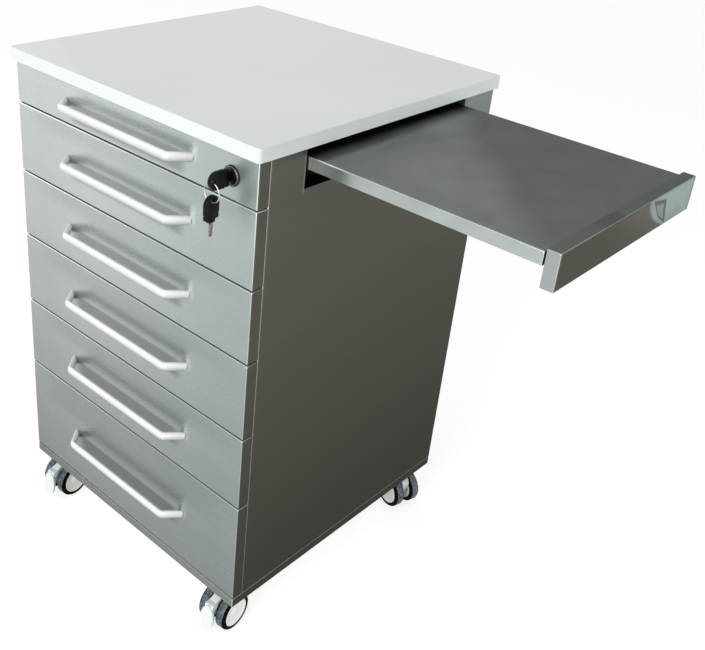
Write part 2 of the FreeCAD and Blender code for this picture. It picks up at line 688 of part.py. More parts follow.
# --------------------------------------------------------------------------------------------------
# Castors: made about their swivel axis, wheels trailing towards -Y, then placed
# --------------------------------------------------------------------------------------------------
CASTORS = {"front_left": ("-1", "-1", "front_swivel"), "front_right": ("1", "-1", "front_swivel"),
           "rear_left": ("-1", "1", "rear_left_swivel"), "rear_right": ("1", "1", "rear_right_swivel")}


def plate_screws():
    """The places of all castor plate screws."""
    return [(f"{x} * swivel_x + {a} * plate_hole_spacing / 2",
             f"{y} * swivel_y + {b} * plate_hole_spacing / 2")
            for x, y, _ in CASTORS.values() for a in ("-1", "1") for b in ("-1", "1")]


def castor_plates():
    """Square plates with a ball race and the pin that each castor turns on."""
    plates = []
    half = "plate_side / 2"
    sheet = prism("plate_sheet", "XY", rectangle((f"-{half}", half), (f"-{half}", half)),
                  ("plate_bottom", "castor_height"))
    rounded(sheet, "plate_corner", lambda edge: runs_along(edge, "Z"))
    race = rod("plate_race", "Z", ("0", "0", "race_bottom"), "race_height", "race_radius")
    pin = rod("plate_pin", "Z", ("0", "0", "hood_top - pivot_length"), "pivot_length + hood_play",
              "pivot_radius")
    solid = fuse("plate_solid", sheet, race, pin)
    holes = [screw_hole(f"plate_hole_{a}{b}", f"{a} * plate_hole_spacing / 2",
                        f"{b} * plate_hole_spacing / 2", "plate_bottom - cut_past",
                        "plate_thickness + 2 * cut_past") for a in ("-1", "1") for b in ("-1", "1")]
    plate = cut("plate", solid, *holes)
    for corner, (x, y, _) in CASTORS.items():
        copy = group(f"plate_{corner}", plate)
        place(copy, f"{x} * swivel_x", f"{y} * swivel_y")
        plates.append(copy)
    node("castor_plates", group("plates", *plates))


def hood_master(braked):
    """Moulded body between the wheels: crown under the race, web down to the axle, nose for the brake."""
    name = "hood_braked" if braked else "hood_plain"
    nose_y = "pedal_hinge_y - nose_half" if braked else "-castor_trail - plain_nose"
    web = [("race_radius - hood_inset", "hood_top"), ("race_radius - hood_inset", "wheel_radius + arm_reach"),
           ("-castor_trail + arm_reach", "wheel_radius - arm_reach"),
           ("-castor_trail - arm_reach", "wheel_radius - arm_reach"),
           (nose_y, "pedal_hinge_z - nose_half"), (nose_y, "pedal_hinge_z + nose_half"),
           ("-castor_trail - hood_inset", "hood_top")]
    body = prism(name + "_web", "YZ", web, ("-hood_half", "hood_half"))
    top = mm("hood_top")
    rounded(body, "hood_round", lambda edge: runs_along(edge, "X") and not near(edge.BoundBox.ZMax, top))
    crown = rod(name + "_crown", "Z", ("0", "0", "2 * wheel_radius + front_seam"),
                "hood_top - 2 * wheel_radius - front_seam", "race_radius")
    bores = [rod(name + "_axle_bore", "X", ("-hood_half - cut_past", "-castor_trail", "wheel_radius"),
                 "2 * (hood_half + cut_past)", "axle_radius + bore_play"),
             rod(name + "_pin_bore", "Z", ("0", "0", "hood_top - pivot_length - cut_past"),
                 "pivot_length + 2 * cut_past", "pivot_radius + bore_play")]
    if braked:
        flanks = {"left": ("-hood_half - cut_past", "-hood_half / 2"),
                  "right": ("hood_half / 2", "hood_half + cut_past")}
        bores += [block(f"hood_notch_{side}", x,
                        ("pedal_hinge_y - notch_front", "pedal_hinge_y + notch_back"),
                        ("pedal_hinge_z - notch_drop", "hood_top + cut_past")) for side, x in flanks.items()]
        bores.append(rod("hood_pedal_bore", "X", ("-hood_half", "pedal_hinge_y", "pedal_hinge_z"),
                         "2 * hood_half", "axle_radius / 2 + bore_play"))
    return cut(name, fuse(name + "_solid", body, crown), *bores)


def wheel_master():
    """A pair of dished hubs with rubber tyres on one axle, about the axle's middle."""
    half, rim = "wheel_width / 2", "hub_radius"
    tyre = turned("tyre", [(f"-{half}", rim), (half, rim), (half, "wheel_radius"),
                           (f"-{half}", "wheel_radius")])
    rounded(tyre, "tyre_round", lambda edge: near(edge.BoundBox.ZMax, mm("wheel_radius")))
    boss_end = f"{half} - boss_inset"
    hub = turned("hub", [(f"-({half} - hub_inset)", "axle_radius"), (f"-({half} - hub_inset)", rim),
                         (f"{half} - hub_inset", rim), (f"{half} - hub_inset", f"{rim} - hub_lip"),
                         (f"{half} - dish_depth", "boss_foot"), (boss_end, "boss_radius"), (boss_end, "0"),
                         ("wheel_width / 2 - boss_inset - boss_wall", "0"),
                         ("wheel_width / 2 - boss_inset - boss_wall", "axle_radius")])
    right = group("wheel_right", tyre, hub)
    place(right, x="wheel_spacing / 2")
    left = group("wheel_left", tyre, hub)
    place(left, x="-wheel_spacing / 2", turn="180")
    axle = rod("wheel_axle", "X", ("-axle_half", "0", "0"), "2 * axle_half", "axle_radius")
    return group("wheel_pair", right, left, axle)


def pedal_master():
    """Oval brake pedal with two ears on its hinge pin, pressed down at rest."""
    body = doc.addObject("PartDesign::Body", "pedal_oval")
    sketch = sketch_on(body, "pedal_outline", "XZ", "-pedal_face")
    half_long, half_wide = mm("pedal_length") / 2, mm("pedal_width") / 2
    middle = FreeCAD.Vector(0, mm("pedal_hinge_z") + mm("pedal_rise") - half_long, 0)
    sketch.addGeometry(Part.Ellipse(middle + FreeCAD.Vector(0, half_long, 0),
                                    middle + FreeCAD.Vector(half_wide, 0, 0), middle))
    pad = body.newObject("PartDesign::Pad", "pedal_pad")
    pad.Profile = sketch
    bind(pad, Length="pedal_thickness")
    doc.recompute()
    outside = mm("pedal_face") - mm("pedal_thickness")
    rounded(body, "pedal_thickness / 3", lambda edge: near(edge.BoundBox.YMin, outside))
    flanks = {"left": ("-hood_half", "-hood_half / 2 - ear_play"),
              "right": ("hood_half / 2 + ear_play", "hood_half")}
    ears = [block(f"pedal_ear_{side}", x, ("pedal_face - cut_past", "pedal_hinge_y + ear_depth"),
                  ("pedal_hinge_z - nose_half", "pedal_hinge_z + pedal_rise")) for side, x in flanks.items()]
    bridge = block("pedal_bridge", ("-hood_half", "hood_half"),
                   ("pedal_face - cut_past", "pedal_face + bridge_depth"),
                   ("pedal_hinge_z - bridge_drop", "pedal_hinge_z + cut_past"))
    pin = rod("pedal_pin", "X", ("-hood_half", "pedal_hinge_y", "pedal_hinge_z"), "2 * hood_half",
              "axle_radius / 2")
    return fuse("pedal_solid", body, bridge, pin, *ears)


def castors():
    """Place a hood, a wheel pair and, in front, a brake pedal at each corner."""
    hoods = {True: hood_master(True), False: hood_master(False)}
    wheels, pedal = wheel_master(), pedal_master()
    for corner, (side, end, turn) in CASTORS.items():
        braked = corner.startswith("front")
        x, y = f"{side} * swivel_x", f"{end} * swivel_y"
        hood = group(f"hood_{corner}", hoods[braked])
        place(hood, x, y, turn=turn)
        node(f"castor_{corner}_hood", hood)
        pair = group(f"wheels_{corner}", wheels)
        place(pair, f"{x} + castor_trail * sin({turn})", f"{y} - castor_trail * cos({turn})",
              "wheel_radius", turn)
        node(f"castor_{corner}_wheels", pair)
        if braked:
            brake = group(f"pedal_{corner}", pedal)
            place(brake, x, y, turn=turn)
            node(f"castor_{corner}_brake", brake)


# --------------------------------------------------------------------------------------------------
# Lock and keys
# --------------------------------------------------------------------------------------------------
def key_solid(name, tip):
    """A flat key with a black bow: blade along +Y from the bow, hole near the bow's end."""
    outline = rectangle((tip, f"{tip} + bow_length"), ("-bow_height / 2", "bow_height / 2"))
    bow = prism(name + "_bow", "YZ", outline, ("-bow_thickness / 2", "bow_thickness / 2"))
    outer = bow.Shape.BoundBox.YMin
    rounded(bow, "bow_round", lambda edge: runs_along(edge, "X") and near(edge.BoundBox.YMin, outer))
    shoulder = f"{tip} + bow_length"
    blade = block(name + "_blade", ("-key_thickness / 2", "key_thickness / 2"),
                  (f"{shoulder} - blade_root", f"{shoulder} + collar_length + blade_length"),
                  ("-blade_height / 2", "blade_height / 2"))
    collar = block(name + "_collar", ("-collar_thickness / 2", "collar_thickness / 2"),
                   (f"{shoulder} - blade_root", f"{shoulder} + collar_length / 2"),
                   ("-collar_height / 2", "collar_height / 2"))
    hole = rod(name + "_hole", "X", ("-bow_thickness", f"{tip} + bow_hole_inset", "0"),
               "2 * bow_thickness", "bow_hole_radius")
    return cut(name, fuse(name + "_body", bow, blade, collar), hole)


def lock_and_keys():
    """Cam lock in the first front, key in it, and a ring through the key's bow."""
    face = "-half_depth"
    housing = turned("housing", [("plug_radius + bore_play", f"{face} - lock_rim_height"),
                                 ("lock_rim_radius - rim_slope", f"{face} - lock_rim_height"),
                                 ("lock_rim_radius", f"{face} - lock_rim_height / 2"),
                                 ("lock_rim_radius", face),
                                 ("lock_radius", face), ("lock_radius", "front_back"),
                                 ("plug_radius + bore_play", "front_back")], plane="XY", axis="V_Axis")
    nut_blank = doc.addObject("Part::Prism", "nut_blank")
    nut_blank.Polygon = 6
    nut_blank.Placement.Rotation = TURNS["Y"]
    bind(nut_blank, Circumradius="nut_radius", Height="nut_height")
    place(nut_blank, "0", f"{face} + wall", "0")
    nut_bore = rod("nut_bore", "Y", ("0", f"{face} + wall - cut_past", "0"), "nut_height + 2 * cut_past",
                   "lock_radius + bore_play")
    lock = group("lock_parts", housing, cut("nut", nut_blank, nut_bore))
    place(lock, "lock_x", "0", "lock_z")
    node("lock_housing", lock)

    plug_front = f"{face} - lock_rim_height + plug_recess"
    cam_front = "front_back + cam_gap + wall"
    plug = rod("plug_round", "Y", ("0", plug_front, "0"), f"{cam_front} - ({plug_front})", "plug_radius")
    keyway = block("keyway", ("-key_thickness / 2 - key_play", "key_thickness / 2 + key_play"),
                   (f"{plug_front} - cut_past", f"{face} - lock_rim_height + blade_length + 2 * key_play"),
                   ("-blade_height / 2 - key_play", "blade_height / 2 + key_play"))
    cylinder = group("plug_parts", cut("plug", plug, keyway))
    place(cylinder, "lock_x", "0", "lock_z")
    node("lock_plug", cylinder)

    arm = prism("cam_arm", "XZ", rectangle(("-cam_length", "0"), ("-cam_width / 2", "cam_width / 2")),
                (cam_front, f"{cam_front} + cam_thickness"))
    rounded(arm, "cam_width / 4",
            lambda edge: runs_along(edge, "Y") and edge.BoundBox.XMax < -mm("cam_width"))
    hub = rod("cam_hub", "Y", ("0", cam_front, "0"), "cam_thickness", "cam_width / 2")
    screw_head = rod("cam_screw", "Y", ("0", f"{cam_front} + cam_thickness", "0"), "screw_head_height / 2",
                     "screw_head_radius")
    cam = group("cam_parts", fuse("cam", arm, hub, screw_head))
    place(cam, "lock_x", "0", "lock_z")
    node("lock_cam", cam)

    key = group("key_parts", key_solid("key_in_lock", "bow_tip"))
    place(key, "lock_x", "0", "lock_z")
    node("key", key)

    ring = doc.addObject("Part::Torus", "split_ring")
    bind(ring, Radius1="ring_radius", Radius2="ring_wire")
    ring.Placement.Rotation = TURNS["Y"]
    place(ring, "lock_x", "bow_hole_y", "ring_z")
    node("key_ring", group("ring_parts", ring))


# --------------------------------------------------------------------------------------------------
# Build, check and write
# --------------------------------------------------------------------------------------------------
worktop()
side_panels()
back_and_base()
top_frame()
slide_posts()
carcass_screws()
slides()
for number in DRAWERS:
    drawer_front(number)
    drawer_box(number)
handles()
tray()
castor_plates()
castors()
lock_and_keys()
doc.recompute()

failed = [f"{item.Name}: {item.State}" for item in doc.Objects if {"Invalid", "Error"} & set(item.State)]
for name, feature in NODES.items():
    if feature.Shape.isNull() or not feature.Shape.isValid() or not feature.Shape.Solids:
        failed.append(f"{name}: no valid solid")
if failed:
    raise RuntimeError("\n".join(failed))

os.makedirs("parts", exist_ok=True)
for name, feature in NODES.items():
    feature.Shape.exportStep(os.path.join("parts", name + ".step"))
    print(f"{name}: {len(feature.Shape.Solids)} solid(s), {feature.Shape.Volume / 1000:.1f} cm3")
print(len(NODES), "nodes")
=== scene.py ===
# %% [markdown]
# # A mobile clinic cabinet, dressed for a studio
# The cabinet stands on four twin-wheel castors. Six drawers open to the front, a tray pulls out to the right,
# and a white slab covers the top. Almost all of it is brushed steel sheet, so the finishes matter more than
# the forms. The solids and their joints are made already. This lesson loads them, gives each a finish, and
# swaps those with round or soft edges for finer pieces. Lengths are in metres, X points to the right, Y to
# the back and Z up.

# %% Load the solids and note their size
import json
import math

import bmesh
import bpy
from mathutils import Matrix, Vector


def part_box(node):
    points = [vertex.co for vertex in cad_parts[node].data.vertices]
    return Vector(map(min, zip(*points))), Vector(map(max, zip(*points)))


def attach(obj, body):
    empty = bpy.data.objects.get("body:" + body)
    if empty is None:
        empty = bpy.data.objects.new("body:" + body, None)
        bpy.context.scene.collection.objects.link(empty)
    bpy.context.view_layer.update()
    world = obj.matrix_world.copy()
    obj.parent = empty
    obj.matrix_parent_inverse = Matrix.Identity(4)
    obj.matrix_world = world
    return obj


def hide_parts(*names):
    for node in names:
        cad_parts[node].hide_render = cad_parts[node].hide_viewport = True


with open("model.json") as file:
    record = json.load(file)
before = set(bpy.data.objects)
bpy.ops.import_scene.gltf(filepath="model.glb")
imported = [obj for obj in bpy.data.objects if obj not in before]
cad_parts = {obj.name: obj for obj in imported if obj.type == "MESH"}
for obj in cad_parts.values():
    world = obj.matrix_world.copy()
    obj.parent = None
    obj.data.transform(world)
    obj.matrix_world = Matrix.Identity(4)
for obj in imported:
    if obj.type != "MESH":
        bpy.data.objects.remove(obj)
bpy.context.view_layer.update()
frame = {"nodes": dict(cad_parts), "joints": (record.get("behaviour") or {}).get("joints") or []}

nodes = frame["nodes"]
joints = {joint["name"]: joint for joint in frame["joints"]}
DRAWERS = range(1, 7)

# %% [markdown]
# The camera stands to the right of the front, a little above the worktop, and looks down, so the uprights
# draw together towards the floor. A lens shift moves the middle of the view off the lens axis.

# %% Camera
scene = bpy.context.scene
scene.view_settings.view_transform = "Standard"

camera_data = bpy.data.cameras.new("camera")
camera_data.lens = 48.91
camera_data.sensor_width = 36
camera_data.shift_x = 0.0979
camera_data.shift_y = -0.0930
camera = bpy.data.objects.new("camera", camera_data)
camera.location = (0.9367, -0.9800, 1.1718)
camera.rotation_euler = [math.radians(angle) for angle in (62.62, -4.04, 43.38)]
scene.collection.objects.link(camera)
scene.camera = camera
print("camera at", tuple(round(place, 2) for place in camera.location))

# %% [markdown]
# A studio in white: a pale floor, a pale room, and soft boxes. The large box stands at the front, so the
# drawer fronts and the slab's front edge are the light side and the right side falls into shade. A box at the
# left puts a sheen on the fronts' upper left, where the sheet mirrors it, and one at the right opens the
# shade. A small box stands low behind the tray, where only the tray's polished front panel mirrors it.

# %% Soft boxes
def soft_box(name, place, target, size, power):
    """A rectangular white area light that faces its target."""
    data = bpy.data.lights.new(name, "AREA")
    data.shape = "RECTANGLE"
    data.size, data.size_y = size
    data.energy = power
    lamp = bpy.data.objects.new(name, data)
    lamp.location = place
    lamp.rotation_euler = (Vector(target) - Vector(place)).to_track_quat("-Z", "Y").to_euler()
    scene.collection.objects.link(lamp)


soft_box("front_box", (0.5, -3.2, 1.3), (0, 0, 0.45), (2.0, 2.0), 76)
soft_box("left_sheen", (-3.0, -1.7, 1.7), (0, -0.2, 0.6), (1.6, 1.6), 13)
soft_box("ceiling_box", (0.5, 0.2, 3.2), (0, 0, 0), (2.6, 2.6), 8)
soft_box("right_fill", (3.4, 0.4, 0.75), (0.2, 0, 0.3), (1.8, 1.3), 34)
soft_box("low_glint", (1.15, 1.85, 0.12), (0.58, 0.2, 0.70), (0.5, 0.3), 0.5)
print(len(bpy.data.lights), "soft boxes")

# %% [markdown]
# Finishes are sums on shader sockets. This small class lets Python write them as sums: it wraps a socket, and
# each plus, minus or times adds the Math node that does it. Most finishes change over a stretch of the
# object, so the class also has soft steps: over and under an edge, and between two.

# %% Sums on sockets
class Amount:
    """One shader socket that can be added, multiplied and so on."""

    def __init__(self, finish, socket):
        self.finish = finish
        self.socket = socket

    def maths(self, operation, *values):
        """The Math node for an operation on one or two values."""
        return self.finish.node("ShaderNodeMath", {"operation": operation}, dict(enumerate(values)))

    def __add__(self, other):
        return self.maths("ADD", self, other)

    def __sub__(self, other):
        return self.maths("SUBTRACT", self, other)

    def __mul__(self, other):
        return self.maths("MULTIPLY", self, other)

    def __radd__(self, other):
        return self.maths("ADD", other, self)

    def __rsub__(self, other):
        return self.maths("SUBTRACT", other, self)

    def __rmul__(self, other):
        return self.maths("MULTIPLY", other, self)

    def __abs__(self):
        return self.maths("ABSOLUTE", self)

    def or_more(self, other):
        """This or another, whichever is larger."""
        return self.maths("MAXIMUM", self, other)

    def over(self, floor, ceiling):
        """0 below the floor, 1 above the ceiling, smooth between."""
        return self.finish.node("ShaderNodeMapRange", {"interpolation_type": "SMOOTHSTEP"},
                                {"Value": self, "From Min": floor, "From Max": ceiling})

    def under(self, floor, ceiling):
        """1 below the floor, 0 above the ceiling, smooth between."""
        return 1.0 - self.over(floor, ceiling)

    def between(self, rise, fall):
        """1 in a stretch and 0 outside it: up over one pair of values, down over the other."""
        return self.over(*rise) * self.under(*fall)


# %% [markdown]
# A bench is a shader tree with one method that adds every node. A finish is a material's bench. It knows
# where a point lies on the object and which way its face looks, and has the noises and mixes that all
# finishes share.

# %% Benches and finishes
class Bench:
    """A shader tree whose nodes all come from one method."""

    def __init__(self, owner, surface):
        owner.use_nodes = True
        self.tree = owner.node_tree
        self.surface = self.tree.nodes[surface]

    def node(self, kind, settings=None, inputs=None, output=0):
        """Add a node: its settings first, then the values or links of its sockets."""
        made = self.tree.nodes.new(kind)
        for name, value in (settings or {}).items():
            setattr(made, name, value)
        for name, value in (inputs or {}).items():
            if isinstance(value, Amount):
                self.tree.links.new(value.socket, made.inputs[name])
            else:
                made.inputs[name].default_value = value
        return Amount(self, made.outputs[output])

    def set(self, **sockets):
        """Set or link the surface shader's sockets; underscores stand for spaces."""
        for name, value in sockets.items():
            socket = self.surface.inputs[name.replace("_", " ")]
            if isinstance(value, Amount):
                self.tree.links.new(value.socket, socket)
            elif socket.type == "RGBA":
                socket.default_value = (*value, 1)
            else:
                socket.default_value = value

    def seen(self):
        """1 where the eye, a reflection or a glass looks, 0 where light is gathered."""
        return sum((self.node("ShaderNodeLightPath", output=ray)
                    for ray in ("Is Camera Ray", "Is Glossy Ray", "Is Transmission Ray")), 0.0)


class Finish(Bench):
    """A material with a surface shader, and the patterns that vary it."""

    def __init__(self, name, colour, metallic=0.0, roughness=0.5, **plain):
        self.material = bpy.data.materials.new(name)
        super().__init__(self.material, "Principled BSDF")
        self.set(Base_Color=colour, Metallic=metallic, Roughness=roughness, **plain)
        self.material.diffuse_color = (*colour, 1)

    def spot(self):
        """Object coordinates, which are metres in the shared frame."""
        return self.node("ShaderNodeTexCoord", output="Object")

    def along(self, axis):
        """How far along an axis, in metres."""
        return self.node("ShaderNodeSeparateXYZ", {}, {"Vector": self.spot()}, output=axis)

    def looking(self, axis):
        """How far a face looks along an axis: -1 against it, 1 along it."""
        normal = self.node("ShaderNodeNewGeometry", output="Normal")
        return self.node("ShaderNodeSeparateXYZ", {}, {"Vector": normal}, output=axis)

    def squarely(self, axis):
        """1 where a face looks nearly straight along an axis, either way, and 0 where it looks well aside."""
        return abs(self.looking(axis)).over(0.55, 0.85)

    def noise(self, scale, detail=2.0, roughness=0.5):
        """Noise whose grain is stretched by the scale along each axis."""
        stretched = self.node("ShaderNodeMapping", {}, {"Vector": self.spot(), "Scale": scale})
        return self.node("ShaderNodeTexNoise", {}, {"Vector": stretched, "Scale": 1.0, "Detail": detail,
                                                    "Roughness": roughness}, output="Fac")

    def mixed(self, factor, first, second):
        """A colour between two colours."""
        inputs = {0: factor}
        for socket, colour in ((6, first), (7, second)):
            inputs[socket] = colour if isinstance(colour, Amount) else (*colour, 1)
        return self.node("ShaderNodeMix", {"data_type": "RGBA"}, inputs, output=2)

    def shaded(self, colour, amount):
        """A colour made lighter or darker."""
        return self.node("ShaderNodeVectorMath", {"operation": "SCALE"}, {0: colour, "Scale": amount},
                         output="Vector")

    def bump(self, height, distance, strength):
        """Relief from a height, in metres."""
        return self.node("ShaderNodeBump", {}, {"Height": height, "Distance": distance, "Strength": strength},
                         output="Normal")


def srgb(red, green, blue):
    """A colour read off a chart in 0 to 255, as the linear colour that shaders use."""
    def linear(level):
        level = level / 255
        return level / 12.92 if level <= 0.04045 else ((level + 0.055) / 1.055) ** 2.4
    return tuple(linear(level) for level in (red, green, blue))


# %% [markdown]
# The floor is matt and nearly white. To the eye, and in reflections, it glows a little, so that it ends in
# plain white and only the soft shadow under the cabinet stays. The room is plain white to the eye and gives
# an even light.

# %% White floor and room
FLOOR_REACH = 20
FLOOR_GLOW = (0.68, 0.68, 0.68)
ROOM_LIGHT = 0.40

floor_finish = Finish("studio_floor", srgb(196, 196, 196), roughness=0.9)
floor_finish.set(Emission_Strength=1.0,
                 Emission_Color=floor_finish.mixed(floor_finish.seen(), (0, 0, 0), FLOOR_GLOW))
floor_mesh = bpy.data.meshes.new("studio_floor")
floor_mesh.from_pydata([(-FLOOR_REACH, -FLOOR_REACH, 0), (FLOOR_REACH, -FLOOR_REACH, 0),
                        (FLOOR_REACH, FLOOR_REACH, 0), (-FLOOR_REACH, FLOOR_REACH, 0)], [], [(0, 1, 2, 3)])
floor = bpy.data.objects.new("studio_floor", floor_mesh)
floor.data.materials.append(floor_finish.material)
scene.collection.objects.link(floor)

scene.world = bpy.data.worlds.new("white_room")
room = Bench(scene.world, "Background")
room.set(Color=(1, 1, 1), Strength=ROOM_LIGHT + room.seen() * (1 - ROOM_LIGHT))
print("floor", 2 * FLOOR_REACH, "m wide, room light", ROOM_LIGHT)

# %% [markdown]
# ## Brushed steel
# The sheet was drawn past an abrasive belt, which leaves fine parallel scratches. Seen from a step away they
# melt into a soft sheen with faint bands along the belt, and what the sheet mirrors is smeared across them.
# Two noises do this: a fine one, stretched nearly eightyfold along the grain, for the scratches, and a wide
# one for the bands. The sheet mirrors the room it stands in: bright at the front and high up, dull near the
# floor, dark to the sides. That light is painted into the colour: a finish gets a painted tone for each way
# that its faces look, lit or shaded, and most sheets get painted shade that darkens them towards the floor.

# %% Grain of the belt
ALONG_X, ALONG_Y = 0, 1
SCRATCHES, BANDS = (700.0, 9.0), (16.0, 1.2)


def drawn_out(across, along, grain):
    """A noise's scale on each axis: fine across the grain and long along it."""
    return [along if axis == grain else across for axis in range(3)]


print("scratches", drawn_out(*SCRATCHES, ALONG_X), "bands", drawn_out(*BANDS, ALONG_X))

# %% [markdown]
# A drawer's front also mirrors its own handle, and that reflection is painted into its colour. The bow hides
# part of the bright room, so a faint painted shade lies above it as a veil and a darker painted strip right
# behind the bar, while a small painted highlight lies on the sheet beside the right foot. Towards the right
# the fronts mirror a duller part of the room: painted shade takes some light away there and a painted tint
# turns them a little cooler.

# %% What a drawer's front mirrors
FOOT = 0.128
print("a handle's feet are", FOOT * 2 * 1000, "mm apart")


def front_tone(steel, front, bow):
    """A front's painted tone: shade to the right, and its handle's reflection and shade; the bar is at the
    bow's height.
    """
    across, high = steel.along("X"), steel.along("Z")
    # painted shade and a cooler painted tint towards the right
    painted_right_shade = 0.12 + high.over(0.08, 0.42) * 0.15
    front = steel.mixed(across.over(-0.05, 0.20), front, srgb(194, 205, 199))
    front = steel.shaded(front, 1.0 - across.over(-0.10, 0.25) * painted_right_shade)
    # painted shade: a faint veil above the bar, and behind is a darker painted strip right behind the bar
    painted_veil_shade = across.between((-0.25, -0.13), (0.12, 0.26)) * high.over(bow + 0.018, bow + 0.042)
    behind = (across.between((-FOOT + 0.002, -FOOT + 0.024), (FOOT - 0.024, FOOT - 0.002))
              * high.between((bow - 0.030, bow - 0.020), (bow + 0.0005, bow + 0.0055)))
    painted_foot_highlight = (across.between((FOOT + 0.001, FOOT + 0.005), (FOOT + 0.008, FOOT + 0.016))
            * high.between((bow - 0.006, bow + 0.002), (bow + 0.012, bow + 0.026)))
    return steel.shaded(front, 1.0 - painted_veil_shade * 0.13 - behind * 0.38 + painted_foot_highlight * 0.30)


# %% [markdown]
# One function makes every kind of sheet. It keeps the tone and the shade apart, because some sheets get more
# painted light and shade below from what stands near them, and only then are the two joined to the surface.

# %% Brushed sheet
FADE_FROM, FADE_OVER = 0.08, 0.68


def brushed(name, front, side, top, grain, fade=1.0, roughness=0.34, bands=0.05, scratches=0.10, clouds=0.0,
            glancing=0.5, glint=0.8, bow=None):
    """Brushed sheet with a painted tone for faces to the front, sides and top, and its grain along an axis.

    The tones get painted shade that darkens them to a share of themselves from the worktop down to the base.
    Clouds are soft patches left by wiping. Glancing is how bright the sheet is when seen almost along its
    face.
    Glint is a painted highlight, a line of light on its bends. Bow is the height of a handle: the sheet is
    then a drawer's front, with a painted reflection and shade of the handle, painted shade towards the right,
    faint upright streaks and a rougher patch around the lock.
    """
    steel = Finish(name, front, metallic=0.85, roughness=roughness, Anisotropic=0.6,
                   Anisotropic_Rotation=0.25, Specular_Tint=(glancing, glancing, glancing))
    scratch = steel.noise(drawn_out(*SCRATCHES, grain), detail=3.0)
    band = steel.noise(drawn_out(*BANDS, grain))
    shade = 1.0 + (band - 0.5) * bands * 2 + (scratch - 0.5) * scratches
    rough = roughness + (scratch - 0.5) * 0.06 + (band - 0.5) * 0.06
    if bow:
        # painted reflection and shade of the handle, and painted shade towards the right
        front = front_tone(steel, front, bow)
        by_lock = steel.along("X").over(0.13, 0.19) * steel.along("Z").over(0.64, 0.70)
        rough = rough + by_lock * 0.16
        shade = shade + (steel.noise((24, 1, 1.5)) - 0.5) * 0.07
    if clouds:
        cloud = steel.noise((18, 18, 18), detail=5.0, roughness=0.6)
        rough = rough + (cloud - 0.5) * 0.12
        shade = shade + (cloud - 0.5) * clouds * 2
    # painted shade, darker towards the floor
    if fade < 1:
        shade = shade * (fade + (steel.along("Z") - FADE_FROM) * ((1 - fade) / FADE_OVER))
    # a painted highlight on the bends, and painted light by the way a face looks: a lit front, shaded sides, a
    # top tone
    squarest = abs(steel.looking("X")).or_more(abs(steel.looking("Y"))).or_more(abs(steel.looking("Z")))
    steel.shade = shade * (1.0 + squarest.under(0.80, 0.97) * glint)
    steel.tone = steel.mixed(steel.squarely("Z"), steel.mixed(steel.squarely("X"), front, side), top)
    steel.set(Roughness=rough, Normal=steel.bump(scratch, 0.00002, 0.15))
    return steel


def middle_of(node):
    """Height of the middle of a solid."""
    low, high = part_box(node)
    return (low.z + high.z) / 2


# %% [markdown]
# The fronts face the large soft box and get the lightest painted tone, and the folds beside them and the side
# panels get the darkest painted shade. The tray has been wiped, which shows as clouds, and its front panel is
# the smoothest sheet. What lies inside the cabinet is duller sheet with no special care taken.

# %% The cabinet's sheets
# each sheet's three colours are painted tones for faces to the front, the sides and the top; the base pan's
# light top is a painted highlight
front_steels = [brushed(f"front_steel_{number}", srgb(197, 204, 200), srgb(84, 84, 76), srgb(184, 189, 186),
                        ALONG_X, fade=0.485, roughness=0.27, bands=0.06, scratches=0.04, glint=0.5,
                        bow=middle_of(f"drawer_{number}_handle")) for number in DRAWERS]
side_steel = brushed("side_steel", srgb(190, 194, 190), srgb(89, 89, 80), srgb(130, 134, 130), ALONG_Y,
                     fade=0.46, scratches=0.22, glancing=0.42, glint=0.4)
base_steel = brushed("base_steel", srgb(156, 161, 154), srgb(72, 72, 65), srgb(240, 244, 238), ALONG_X,
                     fade=0.70, glancing=0.42, glint=2.0)
tray_steel = brushed("tray_steel", srgb(162, 169, 166), srgb(82, 82, 73), srgb(112, 117, 113), ALONG_X,
                     roughness=0.24, scratches=0.03, clouds=0.22, glancing=0.4)
panel_steel = brushed("panel_steel", srgb(148, 153, 149), srgb(88, 87, 78), srgb(100, 105, 100), ALONG_Y,
                      roughness=0.2, scratches=0.03, clouds=0.08, glancing=0.4)
inner_steel = brushed("inner_steel", srgb(150, 154, 150), srgb(140, 144, 140), srgb(150, 154, 150), ALONG_Y,
                      roughness=0.45)
sheets = [*front_steels, side_steel, base_steel, tray_steel, panel_steel, inner_steel]
print(len(sheets), "kinds of sheet")

# %% [markdown]
# ## Painted near reflections
# Some sheets mirror something near, and this is painted into their colour. The strip of the side behind the
# tray's slot gets painted light and a cooler tint for the light that the tray throws up. The fold along the
# slot's front edge gets a painted highlight line, and the faces that turn into the slot get painted shade for
# the dark inside. The bent top edge of the base pan gets a painted highlight line too.

# %% The side around the slot, and the base pan's edge
SLOT_FRONT = -0.165
PAN_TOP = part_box("base_pan")[1].z

deep, high = side_steel.along("Y"), side_steel.along("Z")
# painted light behind the slot, a painted highlight on the fold, and painted shade where faces turn into the
# slot
painted_slot_light = deep.over(0.150, 0.185) * high.over(0.60, 0.78)
at_slot = high.over(0.711, 0.714)
fold_highlight = at_slot * deep.between((SLOT_FRONT - 0.0030, SLOT_FRONT - 0.0022), (SLOT_FRONT, SLOT_FRONT + 0.0006))
turned_in_shade = at_slot * side_steel.looking("Y").over(0.5, 0.9) * deep.under(-0.13, -0.11)
sill_shade = at_slot * side_steel.looking("Z").over(0.5, 0.9) * high.under(0.722, 0.726)
side_steel.tone = side_steel.mixed(painted_slot_light, side_steel.tone, srgb(112, 119, 117))
side_steel.shade = side_steel.shade * (1.0 + painted_slot_light * 0.15 + fold_highlight * 0.7 - (turned_in_shade + sill_shade) * 0.85)

